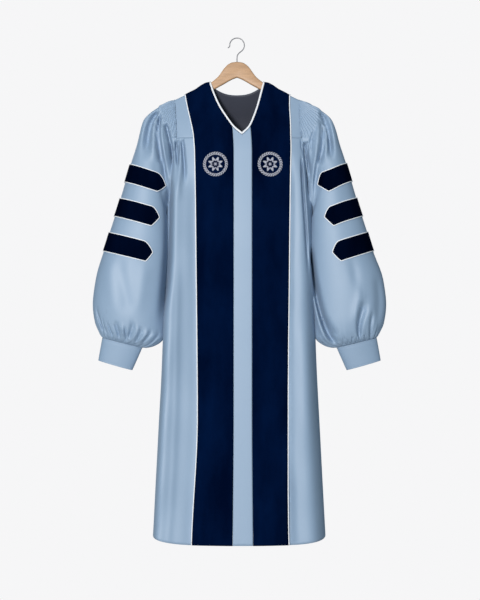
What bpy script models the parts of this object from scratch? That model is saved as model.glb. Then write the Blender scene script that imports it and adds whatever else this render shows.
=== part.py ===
"""A doctoral graduation gown on a wooden hanger, as a maker would cut and sew it.

Metres, +Z up. The origin is the underside of the hook's crown, where a rail bears.
The gown's front faces -Y and the wearer's left is +X. Every cloth piece is a thin wall
on one of two surfaces worked out below: the body, which hangs from the hanger's ridge,
and the sleeve, which runs from the armhole to the cuff.
"""

import math
from collections import namedtuple

import bmesh
import bpy
from mathutils import Vector

# Cloth walls and the gaps between pieces
CLOTH = 0.0016
VELVET = 0.0020
CUFF_CLOTH = 0.0024
LINING = 0.0012
SEAM_GAP = 0.0003
LAYER_GAP = 0.0004
PIPING_RADIUS = 0.0017
BAR_PIPING_RADIUS = 0.0014
ARMHOLE_GAP = 0.0010
BINDING_WIDTH = 0.0080
BINDING_THICKNESS = 0.0046
WELD = 0.00001

# Heights down the body
HEM_Z = -1.399
YOKE_SEAM_Z = -0.285
UNDERARM_Z = -0.470
NECK_POINT_X = 0.078

# The cloth's inner radius over the hanger's ridge, and how fast it stands off below it
RIDGE_RADIUS = 0.0080
TENT_SLOPE = 0.42
# Under 1 makes the body's plan squarer than an ellipse
FRONT_POWER = 0.50
BACK_POWER = 0.80
BLEND_DEPTH = 0.016

# The gown hangs this far to its left of the hook, and its front opening this much farther
SWAY = 0.0070
SKEW = 0.0090
SWAY_LENGTH = 0.150

SIDES = (("right", -1), ("left", 1))

BodySection = namedtuple("BodySection", "z half_width front back seam_y")
BODY = (
    BodySection(-1.399, 0.2415, 0.112, 0.114, 0.012),
    BodySection(-1.130, 0.2275, 0.106, 0.108, 0.022),
    BodySection(-0.860, 0.2145, 0.100, 0.102, 0.034),
    BodySection(-0.600, 0.2040, 0.094, 0.094, 0.044),
    BodySection(-0.470, 0.2000, 0.088, 0.084, 0.036),
    BodySection(-0.380, 0.1940, 0.080, 0.074, 0.020),
    BodySection(-0.285, 0.1900, 0.070, 0.064, 0.008),
    BodySection(-0.200, 0.1880, 0.062, 0.056, 0.002),
    BodySection(-0.110, 0.1860, 0.058, 0.050, 0.000),
)

# The ridge that the shoulders hang from, from the neck to the sleeve head
RidgePoint = namedtuple("RidgePoint", "x z")
RIDGE = (
    RidgePoint(0.000, -0.1250),
    RidgePoint(0.078, -0.1252),
    RidgePoint(0.120, -0.1470),
    RidgePoint(0.160, -0.1670),
    RidgePoint(0.187, -0.1795),
    RidgePoint(0.230, -0.1975),
)

# Half widths of the front's edges: the neckline's V, the velvet panel and the armhole seam
NeckRow = namedtuple("NeckRow", "z half")
NECKLINE = (
    NeckRow(-0.2780, 0.0000),
    NeckRow(-0.2560, 0.0235),
    NeckRow(-0.2260, 0.0410),
    NeckRow(-0.1940, 0.0560),
    NeckRow(-0.1580, 0.0685),
    NeckRow(-0.1252, 0.0780),
)
BACK_NECK_DROP = 0.031
NECK_POINT_STEP = 0.0082

FrontRow = namedtuple("FrontRow", "z placket velvet")
FRONT_EDGES = (
    FrontRow(-1.399, 0.0278, 0.131),
    FrontRow(-1.050, 0.0253, 0.122),
    FrontRow(-0.600, 0.0252, 0.126),
    FrontRow(-0.440, 0.0252, 0.128),
    FrontRow(-0.285, 0.0252, 0.132),
    FrontRow(-0.230, 0.0252, 0.137),
    FrontRow(-0.155, 0.0252, 0.1445),
)

ArmholeRow = namedtuple("ArmholeRow", "z half")
ARMHOLE = (
    ArmholeRow(-0.455, 0.1920),
    ArmholeRow(-0.430, 0.1890),
    ArmholeRow(-0.390, 0.1870),
    ArmholeRow(-0.340, 0.1830),
    ArmholeRow(-0.310, 0.1780),
    ArmholeRow(-0.285, 0.1730),
    ArmholeRow(-0.260, 0.1705),
    ArmholeRow(-0.230, 0.1710),
    ArmholeRow(-0.150, 0.1730),
)

# Folds of the body. Place runs from 1 at the velvet's edge to 2 at the side seam on the
# fronts, and from 0 at the middle to 1 at the side seam on the back. Lift is outwards.
BodyFold = namedtuple("BodyFold", "side top_place hem_place top_z low_z width lift")
FRONT_FOLDS = (
    BodyFold(-1, 1.10, 1.11, -0.42, -1.60, 0.085, -0.0100),
    BodyFold(-1, 1.42, 1.30, -0.30, -1.60, 0.110, 0.0070),
    BodyFold(-1, 1.72, 1.62, -0.50, -1.60, 0.090, -0.0080),
    BodyFold(1, 1.36, 1.30, -0.30, -0.88, 0.060, -0.0075),
    BodyFold(1, 1.50, 1.44, -0.30, -0.95, 0.080, 0.0065),
    BodyFold(1, 1.08, 1.10, -0.70, -1.60, 0.080, -0.0035),
    BodyFold(1, 1.80, 1.68, -0.50, -1.60, 0.100, -0.0060),
)
BACK_FOLDS = (
    BodyFold(-1, 0.10, 0.12, -0.29, -1.60, 0.055, -0.0120),
    BodyFold(-1, 0.30, 0.33, -0.29, -1.60, 0.065, -0.0140),
    BodyFold(-1, 0.62, 0.62, -0.35, -1.60, 0.070, -0.0110),
    BodyFold(1, 0.13, 0.14, -0.29, -1.60, 0.055, -0.0130),
    BodyFold(1, 0.36, 0.36, -0.29, -1.60, 0.065, -0.0120),
    BodyFold(1, 0.66, 0.64, -0.35, -1.60, 0.070, -0.0120),
)
# Small gathers where the fronts and the back are sewn to their yokes
FRONT_GATHERS = 4
FRONT_GATHER_LIFT = 0.0026
BACK_GATHERS = 14
BACK_GATHER_LIFT = 0.0030
GATHER_LENGTH = 0.170
# Folds and gathers fade to nothing this close to a seam
EDGE_SHARE = 0.12

SleeveRing = namedtuple("SleeveRing", "s outer_x outer_z inner_x inner_z half_depth middle_y")
SLEEVE = (
    SleeveRing(0, 0.1730, -0.1733, 0.2035, -0.4680, 0.042, 0.000),
    SleeveRing(1, 0.2270, -0.1965, 0.2060, -0.4780, 0.047, -0.002),
    SleeveRing(2, 0.2575, -0.2240, 0.2050, -0.4930, 0.052, -0.006),
    SleeveRing(3, 0.2830, -0.2900, 0.2040, -0.5150, 0.057, -0.012),
    SleeveRing(4, 0.3055, -0.3570, 0.2045, -0.5450, 0.060, -0.016),
    SleeveRing(5, 0.3350, -0.4580, 0.2060, -0.5900, 0.063, -0.018),
    SleeveRing(6, 0.3670, -0.5580, 0.2070, -0.6500, 0.065, -0.018),
    SleeveRing(7, 0.3960, -0.6590, 0.2100, -0.7220, 0.066, -0.018),
    SleeveRing(8, 0.4070, -0.7430, 0.2130, -0.7900, 0.064, -0.018),
    SleeveRing(9, 0.4030, -0.7940, 0.2155, -0.8380, 0.057, -0.017),
    SleeveRing(10, 0.3930, -0.8210, 0.2300, -0.8630, 0.042, -0.016),
    SleeveRing(11, 0.3800, -0.8370, 0.2730, -0.8640, 0.021, -0.014),
)
LAST_RING = 11
SLEEVE_COLUMNS = 36
SLEEVE_ROWS = (0, 0.5, 1, 1.5, 2, 2.5, 3, 4, 5, 6, 7, 8, 9, 9.6, 10.3, 11)
FLUTED_ROWS = 1.5
FLUTES = 36
FLUTE_LIFT = 0.0022
RELEASED_PLEATS = 18
RELEASED_LIFT = 0.0050
CUFF_GATHERS = 18
CUFF_GATHER_LIFT = 0.0045
# The front and back of the sleeve head that are fluted, as angles from its top
FLUTED_TO = math.radians(138)

# Large folds of the sleeve. Angle is from its outer line, positive to the front.
SleeveFold = namedtuple("SleeveFold", "top_s low_s top_angle low_angle width lift")
SLEEVE_FOLDS = (
    SleeveFold(0.8, 3.4, 50, 47, 14, -0.0090),
    SleeveFold(0.8, 2.8, 92, 96, 16, -0.0080),
    SleeveFold(0.8, 2.8, 124, 128, 13, 0.0050),
    SleeveFold(6.6, 11.0, 66, 58, 18, -0.0070),
    SleeveFold(6.6, 11.0, 134, 116, 17, -0.0110),
    SleeveFold(0.8, 3.4, -54, -50, 14, -0.0090),
    SleeveFold(0.8, 2.8, -94, -98, 16, -0.0080),
    SleeveFold(6.6, 11.0, -80, -72, 20, -0.0080),
    SleeveFold(6.6, 11.0, -134, -120, 17, -0.0080),
)

# The cuff, as the ring it starts from and the ring it ends at
CUFF_TOP = SleeveRing(0, 0.3802, -0.8373, 0.2731, -0.8643, 0.021, -0.014)
CUFF_END = SleeveRing(1, 0.3927, -0.9010, 0.3016, -0.9270, 0.019, -0.014)
CUFF_COLUMNS = 24

# Velvet bars across each sleeve: their corners seen from the front, and how far they clear
# the sleeve's facets
Bar = namedtuple("Bar", "outer_top outer_low bend_top bend_low tip strips gap")
BARS = (
    Bar((0.3040, -0.3540), (0.3190, -0.4040), (0.2320, -0.3780), (0.2400, -0.4340), (0.2110, -0.4130), 4, 0.0019),
    Bar((0.3320, -0.4506), (0.3480, -0.5016), (0.2470, -0.4755), (0.2590, -0.5270), (0.2280, -0.5050), 2, 0.0009),
    Bar((0.3600, -0.5458), (0.3774, -0.5970), (0.2720, -0.5700), (0.2750, -0.6250), (0.2480, -0.6020), 2, 0.0009),
)
BAR_STEP = 10
BAR_SKEW = 0.0055

# The hanger
WOOD_THICKNESS = 0.0124
# The cloth clears the wood's top edge by this much
WOOD_DROP = 0.0009
WOOD_BEVEL = 0.0042
ARM_END_X = 0.214
HangerRow = namedtuple("HangerRow", "x top bottom")
HANGER = (
    HangerRow(0.000, -0.0655, -0.1095),
    HangerRow(0.014, -0.0672, -0.1150),
    HangerRow(0.026, -0.0735, -0.1215),
    HangerRow(0.036, -0.0835, -0.1275),
    HangerRow(0.045, -0.0965, -0.1325),
    HangerRow(0.054, -0.1080, -0.1375),
    HangerRow(0.065, -0.1175, -0.1435),
    HangerRow(0.078, -0.1265, -0.1500),
    HangerRow(0.100, None, -0.1615),
    HangerRow(0.120, None, -0.1715),
    HangerRow(0.145, None, -0.1830),
    HangerRow(0.170, None, -0.1935),
    HangerRow(0.195, None, -0.2030),
    HangerRow(0.208, -0.1905, -0.2065),
)
HOOK_WIRE = 0.0017
HOOK_RADIUS = 0.0205
HOOK_HOLE_DEPTH = 0.020

# Colours, as a Principled BSDF takes them
SKY_BLUE = (0.36, 0.50, 0.68)
NAVY = (0.004, 0.008, 0.030)
WHITE = (0.85, 0.87, 0.92)
CHARCOAL = (0.030, 0.036, 0.058)
BEECH = (0.60, 0.38, 0.19)
STEEL = (0.60, 0.60, 0.60)


# Numbers
def mix(a, b, share):
    return a + (b - a) * share


def ease(share):
    """Runs from 0 to 1 as share does, with no jump at either end."""
    share = max(0.0, min(1.0, share))
    return share * share * (3 - 2 * share)


def bump(offset, width):
    return math.exp(-((offset / width) ** 2))


def read(table, column, at):
    """A table's column at a value of its first one, on a smooth curve through the rows."""
    keys = [row[0] for row in table]
    values = [getattr(row, column) for row in table]
    if at <= keys[0]:
        return values[0]
    if at >= keys[-1]:
        return values[-1]
    i = max(k for k in range(len(keys) - 1) if keys[k] <= at)
    slopes = [(values[k + 1] - values[k]) / (keys[k + 1] - keys[k]) for k in range(len(keys) - 1)]

    def slope_at(k):
        if k in (0, len(keys) - 1):
            return slopes[min(k, len(slopes) - 1)]
        before, after = slopes[k - 1], slopes[k]
        return 2 * before * after / (before + after) if before * after > 0 else 0.0

    length = keys[i + 1] - keys[i]
    t = (at - keys[i]) / length
    return (
        (1 + 2 * t) * (1 - t) ** 2 * values[i]
        + t * (1 - t) ** 2 * length * slope_at(i)
        + t * t * (3 - 2 * t) * values[i + 1]
        + t * t * (t - 1) * length * slope_at(i + 1)
    )


def smooth_least(a, b, blend):
    """The lesser of a and b, rounded where they are within blend of each other."""
    near = max(blend - abs(a - b), 0.0) / blend
    return min(a, b) - near * near * blend / 4


def sway(z):
    return SWAY * ease((RIDGE[-2].z - z) / SWAY_LENGTH)


def skew(z):
    return SKEW * ease((RIDGE[1].z - z) / SWAY_LENGTH)


def hung(side, point):
    """A point of the wearer's left side, moved to the side wanted and to where it hangs."""
    return Vector((side * point.x + sway(point.z), point.y, point.z))


# The body's surface
def ridge_z(x):
    return read(RIDGE, "z", abs(x))


def tent(drop):
    """How far cloth stands from the hanger's middle plane, that far below the ridge."""
    turn = RIDGE_RADIUS / math.sqrt(1 + TENT_SLOPE**2)
    tangent_drop = RIDGE_RADIUS - TENT_SLOPE * turn
    if drop < tangent_drop:
        drop = max(drop, 0.0)
        return math.sqrt(drop * (2 * RIDGE_RADIUS - drop))
    return turn + TENT_SLOPE * (drop - tangent_drop)


def body_point(angle, z, facing):
    """A point of the body's inner face. Angle is 0 at the middle and a right angle at a side
    seam, and facing is -1 on the front and 1 on the back."""
    half = read(BODY, "half_width", z)
    seam_y = read(BODY, "seam_y", z)
    depth = read(BODY, "front" if facing < 0 else "back", z)
    x = half * math.sin(angle)
    power = FRONT_POWER if facing < 0 else BACK_POWER
    from_seam = (depth - facing * seam_y) * max(math.cos(angle), 0.0) ** power
    stand = smooth_least(tent(ridge_z(x) - z), from_seam + facing * seam_y, BLEND_DEPTH)
    return Vector((x, facing * stand, z))


def body_normal(angle, z, facing):
    step_angle, step_z = 0.01, 0.002
    low, high = angle - step_angle, min(angle + step_angle, math.pi / 2)
    across = body_point(high, z, facing) - body_point(low, z, facing)
    down = body_point(angle, z - step_z, facing) - body_point(angle, z + step_z, facing)
    normal = across.cross(down).normalized()
    return normal if normal.y * facing > 0 or abs(normal.y) < 0.2 and normal.x > 0 else -normal


def angle_of(x, z):
    return math.asin(max(-1.0, min(1.0, x / read(BODY, "half_width", z))))


def front_point(x, z, lift):
    """A point of the front, at this signed distance from its middle."""
    angle = angle_of(abs(x), z)
    point = body_point(angle, z, -1) + body_normal(angle, z, -1) * lift
    return hung(math.copysign(1, x), point)


def armhole_x(z):
    if z <= ARMHOLE[0].z:
        share = (z - UNDERARM_Z) / (ARMHOLE[0].z - UNDERARM_Z)
        return mix(read(BODY, "half_width", UNDERARM_Z), ARMHOLE[0].half, max(share, 0.0))
    return read(ARMHOLE, "half", z)


def side_angle(z):
    """The body's outer edge: the armhole's seam above the underarm, the side seam below."""
    if z <= UNDERARM_Z:
        return math.pi / 2
    return angle_of(armhole_x(z), z)


def inner_edge_x(z):
    """The front's inner edge: the neckline, and below it the placket's side."""
    placket = read(FRONT_EDGES, "placket", z)
    return max(placket + SEAM_GAP, read(NECKLINE, "half", z)) if z > NECKLINE[0].z else placket + SEAM_GAP


def front_angle(side, place, z):
    """Place is 0 at the front's inner edge, 1 at the velvet's outer edge, 2 at the side."""
    velvet = read(FRONT_EDGES, "velvet", z)
    edge = mix(inner_edge_x(z), velvet, min(place, 1)) + side * skew(z)
    if place <= 1:
        return angle_of(edge, z)
    return mix(angle_of(edge, z), side_angle(z), place - 1)


def fold_lift(folds, side, place, z):
    """How far the large folds move the cloth outwards at this place."""
    lift = 0.0
    for fold in folds:
        if fold.side != side or not fold.low_z < z < fold.top_z:
            continue
        along = (fold.top_z - z) / (fold.top_z - HEM_Z)
        starts = ease((fold.top_z - z) / 0.16)
        ends = ease((z - fold.low_z) / 0.16)
        centre = mix(fold.top_place, fold.hem_place, along)
        lift += fold.lift * bump(place - centre, fold.width) * starts * ends
    return lift


def gathered(z):
    """1 at the yoke's seam, running out to 0 where the gathers have opened."""
    return ease(1 - (YOKE_SEAM_Z - z) / GATHER_LENGTH) if z <= YOKE_SEAM_Z else 0.0


def front_surface(side):
    """The fronts as a function of place, height and lift off the inner face."""

    def at(place, z, lift):
        angle = front_angle(side, place, z)
        moved = 0.0
        if place > 1:
            waves = math.cos(2 * math.pi * FRONT_GATHERS * (place - 1))
            moved = FRONT_GATHER_LIFT * (1 - waves) / 2 * gathered(z)
            moved *= ease((place - 1) / EDGE_SHARE / 2)
            moved += fold_lift(FRONT_FOLDS, side, place, z)
            moved *= ease((2 - place) / EDGE_SHARE)
        point = body_point(angle, z, -1) + body_normal(angle, z, -1) * (lift + moved)
        if place >= 2 and z <= UNDERARM_Z:
            point.y -= SEAM_GAP / 2
        return hung(side, point)

    return at


def back_surface(place, z, lift):
    """The back as a function of place, from -1 at one side to 1 at the other."""
    side = 1 if place >= 0 else -1
    share = abs(place)
    angle = share * side_angle(z)
    waves = math.cos(2 * math.pi * BACK_GATHERS * share)
    moved = BACK_GATHER_LIFT * (1 + waves) / 2 * gathered(z) + fold_lift(BACK_FOLDS, side, share, z)
    moved *= ease((1 - share) / EDGE_SHARE)
    normal = body_normal(angle, z, 1)
    point = body_point(angle, z, 1) + normal * (lift + moved)
    if share >= 1 and z <= UNDERARM_Z:
        point.y += SEAM_GAP / 2
    return hung(side, point)


def top_z(x_at, start_z):
    """Where a column of cloth meets the ridge: x_at gives the column's x at a height."""
    z = start_z
    for _ in range(12):
        z = ridge_z(x_at(z))
    return z


# The sleeve's surface
def armhole_point(turn, facing_lift):
    """A point of the sleeve's first ring, which follows the body's armhole. Turn is 0 at the
    shoulder and a half turn at the underarm, positive to the front."""
    share = (1 - math.cos(turn)) / 2
    z = mix(ridge_z(ARMHOLE[-1].half) - 0.0001, UNDERARM_Z, share)
    facing = -1 if turn >= 0 else 1
    angle = angle_of(armhole_x(z), z)
    point = body_point(angle, z, facing) + body_normal(angle, z, facing) * facing_lift
    clear = mix(ARMHOLE_GAP, 0.0062, ease(share * 2.6 - 1.6))
    return point + Vector((clear, 0, 0))


def ring_point(table, s, turn):
    outer = Vector((read(table, "outer_x", s), 0, read(table, "outer_z", s)))
    inner = Vector((read(table, "inner_x", s), 0, read(table, "inner_z", s)))
    middle = (outer + inner) / 2
    point = middle + (outer - inner) / 2 * math.cos(turn)
    point.y = read(table, "middle_y", s) - read(table, "half_depth", s) * math.sin(turn)
    return point


def sleeve_base(turn, s):
    ring = ring_point(SLEEVE, s, turn)
    if s >= 2.2:
        return ring
    return armhole_point(turn, 0.0).lerp(ring, ease(s / 2.2) if s > 0 else 0.0) if s else armhole_point(turn, 0.0)


def sleeve_normal(turn, s):
    step_turn, step_s = 0.02, 0.04
    around = sleeve_base(turn + step_turn, s) - sleeve_base(turn - step_turn, s)
    low, high = max(s - step_s, 0.0), min(s + step_s, LAST_RING)
    down = sleeve_base(turn, high) - sleeve_base(turn, low)
    own = around.cross(down).normalized()
    if own.dot(Vector((math.cos(turn), -math.sin(turn), 0))) < 0:
        own = -own
    share = (1 - math.cos(turn)) / 2
    if s < 0.4:
        facing = -1 if turn >= 0 else 1
        z = mix(ridge_z(ARMHOLE[-1].half) - 0.0001, UNDERARM_Z, share)
        seam = body_normal(angle_of(armhole_x(z), z), z, facing)
        own = own.lerp(seam, (1 - s / 0.4) * (1 - ease(share * 2.6 - 1.6))).normalized()
    if s > 10.6:
        axis = (ring_point((CUFF_TOP, CUFF_END), 1, turn) - ring_point((CUFF_TOP, CUFF_END), 0, turn)).normalized()
        radial = own - axis * own.dot(axis)
        own = own.lerp(radial.normalized(), (s - 10.6) / 0.4).normalized()
    return own


def sleeve_lift(turn, s):
    """The flutes at the sleeve head, the large folds, and the gathers at the cuff."""
    degrees = math.degrees(turn)
    fluted = ease((FLUTED_TO - abs(turn)) / math.radians(22))
    share = turn / (2 * math.pi)
    lift = FLUTE_LIFT * (1 - math.cos(2 * math.pi * FLUTES * share)) / 2 * fluted * ease((1.7 - s) / 0.7)
    released = ease((s - 0.7) / 0.8) * ease((2.7 - s) / 1.4)
    lift += RELEASED_LIFT * (1 - math.cos(2 * math.pi * RELEASED_PLEATS * share)) / 2 * fluted * released
    drawn = ease((s - 8.4) / 1.6) * mix(1.0, 0.45, ease((s - 10.2) / 0.8))
    lift += CUFF_GATHER_LIFT * (1 - math.cos(2 * math.pi * CUFF_GATHERS * share)) / 2 * drawn
    for fold in SLEEVE_FOLDS:
        if not fold.top_s < s < fold.low_s:
            continue
        along = (s - fold.top_s) / (fold.low_s - fold.top_s)
        strength = ease(along / 0.3) * ease((1 - along) / 0.35)
        lift += fold.lift * bump(degrees - mix(fold.top_angle, fold.low_angle, along), fold.width) * strength
    return lift


def sleeve_surface(share, s, lift):
    """The wearer's left sleeve as a function of share round it, from the underarm over the
    front, of station s down it, and of lift off its inner face."""
    turn = math.pi - 2 * math.pi * share
    moved = lift + sleeve_lift(turn, s)
    return sleeve_base(turn, s) + sleeve_normal(turn, s) * moved


def cuff_surface(share, s, lift):
    turn = math.pi - 2 * math.pi * share
    rings = (CUFF_TOP, CUFF_END)
    around = ring_point(rings, s, turn + 0.02) - ring_point(rings, s, turn - 0.02)
    down = ring_point(rings, 1, turn) - ring_point(rings, 0, turn)
    normal = around.cross(down).normalized()
    if normal.dot(Vector((math.cos(turn), -math.sin(turn), 0))) < 0:
        normal = -normal
    return ring_point(rings, s, turn) + normal * lift


# Building pieces
def material(name, colour, roughness, metallic=0.0):
    made = bpy.data.materials.new(name)
    made.use_nodes = True
    shader = made.node_tree.nodes["Principled BSDF"]
    shader.inputs["Base Color"].default_value = (*colour, 1)
    shader.inputs["Roughness"].default_value = roughness
    shader.inputs["Metallic"].default_value = metallic
    return made


def add_object(name, bm, finish):
    bmesh.ops.recalc_face_normals(bm, faces=bm.faces[:])
    mesh = bpy.data.meshes.new(name)
    bm.to_mesh(mesh)
    bm.free()
    mesh.materials.append(finish)
    mesh.shade_smooth()
    mesh.set_sharp_from_angle(angle=math.radians(40))
    made = bpy.data.objects.new(name, mesh)
    bpy.context.scene.collection.objects.link(made)
    return made


def wall(name, place, columns, rows, inner, outer, finish, closed=False, finer=None):
    """A cloth piece: a grid of columns and rows laid on a surface, then given its thickness.

    place(column, row, lift) gives a point. Finer, where given, says which columns and rows
    get a second column between each two."""
    bm = bmesh.new()
    bmesh.ops.create_grid(bm, x_segments=len(columns) - 1, y_segments=len(rows) - 1, size=0.5)
    column_of = bm.verts.layers.float.new("column")
    row_of = bm.verts.layers.float.new("row")
    for vert in bm.verts:
        vert[column_of] = columns[round((vert.co.x + 0.5) * (len(columns) - 1))]
        vert[row_of] = rows[round((0.5 - vert.co.y) * (len(rows) - 1))]
    if finer:
        across = [
            edge
            for edge in bm.edges
            if abs(edge.verts[0][row_of] - edge.verts[1][row_of]) < 1e-6
            and all(finer(vert[column_of], vert[row_of]) for vert in edge.verts)
        ]
        bmesh.ops.subdivide_edges(bm, edges=across, cuts=1)
    for vert in bm.verts:
        vert.co = place(vert[column_of], vert[row_of], inner)
    if closed:
        bmesh.ops.remove_doubles(bm, verts=bm.verts[:], dist=WELD)
    raised = bmesh.ops.extrude_face_region(bm, geom=bm.faces[:])["geom"]
    for vert in raised:
        if isinstance(vert, bmesh.types.BMVert):
            vert.co = place(vert[column_of], vert[row_of], outer)
    return add_object(name, bm, finish)


def even(count, start=0.0, end=1.0):
    return [mix(start, end, i / count) for i in range(count + 1)]


# Columns and rows that pieces lying on each other share
VELVET_COLUMNS = even(3)
SIDE_COLUMNS = even(2 * FRONT_GATHERS, 1.0, 2.0)
YOKE_SIDE_COLUMNS = even(3, 1.0, 2.0)
RIDGE_DROPS = (0.0, 0.0004, 0.0024, 0.0075)
YOKE_SHARES = (0.15, 0.35, 0.56, 0.78, 1.0)
FRONT_ROWS = (-0.285, -0.318, -0.355, -0.395, -0.435, -0.470, -0.530, -0.620, -0.740, -0.890,
              -1.060, -1.230, HEM_Z)


def yoke_z(step, x_at, low_z):
    """Heights down a yoke's column: three rows round the ridge, then even shares below."""
    top = top_z(x_at, -0.15)
    if step < len(RIDGE_DROPS):
        return top - RIDGE_DROPS[step]
    start = top - RIDGE_DROPS[-1]
    return mix(start, low_z, YOKE_SHARES[step - len(RIDGE_DROPS)])


def yoke_surface(side):
    front = front_surface(side)

    def at(place, step, lift):
        z = yoke_z(round(step), lambda height: half_x(side, place, height), YOKE_SEAM_Z + SEAM_GAP / 2)
        point = front(place, z, lift)
        if round(step) == 0:
            point.y -= SEAM_GAP / 2
        return point

    return at


def half_x(side, place, z):
    return read(BODY, "half_width", z) * math.sin(front_angle(side, place, z))


YOKE_STEPS = list(range(len(RIDGE_DROPS) + len(YOKE_SHARES)))


def velvet_surface(side):
    """The velvet lies on the yoke and the front, and shares their points."""
    yoke, front = yoke_surface(side), front_surface(side)

    def at(place, step, lift):
        step = round(step)
        if step < len(YOKE_STEPS) - 1:
            return yoke(place, step, lift)
        if step == len(YOKE_STEPS) - 1:
            return front(place, YOKE_SEAM_Z, lift)
        return front(place, FRONT_ROWS[step - len(YOKE_STEPS) + 1], lift)

    return at


VELVET_STEPS = list(range(len(YOKE_STEPS) + len(FRONT_ROWS) - 1))


def make_fronts(side_name, side, blue, navy, white):
    front = front_surface(side)
    rows = [FRONT_ROWS[0] - SEAM_GAP / 2, *FRONT_ROWS[1:]]
    wall(f"front_{side_name}", front, [*VELVET_COLUMNS, *SIDE_COLUMNS[1:]], rows, 0.0, CLOTH, blue)
    wall(f"front_yoke_{side_name}", yoke_surface(side), [*VELVET_COLUMNS, *YOKE_SIDE_COLUMNS[1:]],
         YOKE_STEPS, 0.0, CLOTH, blue)
    lift = CLOTH + LAYER_GAP
    wall(f"velvet_panel_{side_name}", velvet_surface(side), VELVET_COLUMNS, VELVET_STEPS,
         lift, lift + VELVET, navy)
    path = []
    for step in VELVET_STEPS[1:]:
        edge = velvet_surface(side)(1, step, lift + PIPING_RADIUS)
        path.append(edge + Vector((side * (PIPING_RADIUS + LAYER_GAP), 0, 0)))
    path[0].z += 0.0010
    path[-1].z = HEM_Z + 0.0002
    cord(f"velvet_piping_{side_name}", path, PIPING_RADIUS, white)


def cord(name, points, radius, finish, closed=False, resolution=1):
    """A sewn-on piping or a wire: a curve with a round section."""
    data = bpy.data.curves.new(name, "CURVE")
    data.dimensions = "3D"
    data.bevel_depth = radius
    data.bevel_resolution = resolution
    data.use_fill_caps = not closed
    spline = data.splines.new("POLY")
    spline.points.add(len(points) - 1)
    for spot, point in zip(spline.points, points):
        spot.co = (*point, 1)
    spline.use_cyclic_u = closed
    data.materials.append(finish)
    made = bpy.data.objects.new(name, data)
    bpy.context.scene.collection.objects.link(made)
    return made


def placket_top_z(place):
    """Where the neckline crosses the placket, at a share of its half width."""
    width = abs(place) * read(FRONT_EDGES, "placket", NECKLINE[1].z)
    low, high = NECKLINE[0].z, NECKLINE[2].z
    for _ in range(30):
        middle = (low + high) / 2
        low, high = (middle, high) if read(NECKLINE, "half", middle) < width else (low, middle)
    return low


def make_placket(blue):
    """The strip between the velvet panels, cut to the V at its top."""
    low_rows = [z for z in FRONT_ROWS if z < -0.30]
    steps = list(range(len(low_rows) + 2))

    def at(place, step, lift):
        step = round(step)
        top = placket_top_z(place) - LAYER_GAP
        z = (top, mix(top, low_rows[0], 0.5))[step] if step < 2 else low_rows[step - 2]
        return front_point(place * read(FRONT_EDGES, "placket", z) + skew(z), z, lift)

    wall("front_placket", at, [-1, -0.5, 0, 0.5, 1], steps, 0.0, CLOTH, blue)


def back_neck_z(x):
    """The back neckline: steep where it leaves the ridge at the neck point, then shallow."""
    share = min(abs(x) / NECK_POINT_X, 1.0)
    steep = min(NECK_POINT_STEP, 3 * NECK_POINT_X * (1 - share))
    return ridge_z(NECK_POINT_X) - max(BACK_NECK_DROP * (1 - share**2.4), steep)


def back_top_z(place):
    """Where the back's column starts, on the neckline or on the shoulder's ridge."""
    z = -0.15
    for _ in range(12):
        x = read(BODY, "half_width", z) * math.sin(abs(place) * side_angle(z))
        z = min(ridge_z(x), back_neck_z(x)) if x < NECK_POINT_X else ridge_z(x)
    return z


def back_yoke_at(place, step, lift):
    top = back_top_z(place)
    step = round(step)
    if step < len(RIDGE_DROPS):
        z = top - RIDGE_DROPS[step]
    else:
        z = mix(top - RIDGE_DROPS[-1], YOKE_SEAM_Z + SEAM_GAP / 2, YOKE_SHARES[step - len(RIDGE_DROPS)])
    point = back_surface(place, z, lift)
    if step == 0 and abs(point.y) < SEAM_GAP:
        point.y += SEAM_GAP / 2
    return point


def neck_places():
    """The back yoke's columns from its middle to the neck point, closer where it turns."""
    z = ridge_z(NECK_POINT_X)
    place = angle_of(NECK_POINT_X, z) / side_angle(z)
    return [place * share for share in (0.0, 0.3, 0.6, 0.86, 0.966, 0.989, 1.0)]


def mirrored(places):
    return [-place for place in reversed(places) if place > 0] + list(places)


def make_back(blue, charcoal):
    columns = even(2 * BACK_GATHERS, -1.0, 1.0)
    rows = [FRONT_ROWS[0] - SEAM_GAP / 2, *FRONT_ROWS[1:]]
    wall("back_panel", back_surface, columns, rows, 0.0, CLOTH, blue)
    neck = neck_places()
    yoke = mirrored([*neck, *even(6, neck[-1], 1.0)[1:]])
    wall("back_yoke", back_yoke_at, yoke, YOKE_STEPS, 0.0, CLOTH, blue)
    wall("back_neck_lining", back_yoke_at, mirrored(neck[:-2]), YOKE_STEPS[:-1], -LAYER_GAP - LINING,
         -LAYER_GAP, charcoal)


def binding_ring(side, z):
    """The binding's section, from its edge at the neckline inwards, as it turns at this height."""
    rise = 0.002
    half = read(NECKLINE, "half", z) if z > NECKLINE[0].z + rise else 0.0
    slope = (read(NECKLINE, "half", z + rise) - read(NECKLINE, "half", z - rise)) * side
    inward = Vector((-2 * rise * side, 0, slope * side)).normalized() if half else Vector((0, 0, 1.35))
    base = front_point(side * half + skew(z), z, 0.0)
    outward = front_point(side * half + skew(z), z, 1.0) - base
    low = base + inward * LAYER_GAP
    high = base + inward * (LAYER_GAP + BINDING_WIDTH)
    high.y = front_point(high.x - sway(high.z), high.z, 0.0).y
    stack = CLOTH + LAYER_GAP + VELVET
    ring = [low, low + outward * stack * 0.9, (low + high) / 2 + outward * BINDING_THICKNESS,
            high + outward * stack * 0.6, high]
    for spot in ring:
        spot.y = min(spot.y, -WOOD_THICKNESS / 2 - LAYER_GAP)
    return ring


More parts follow.
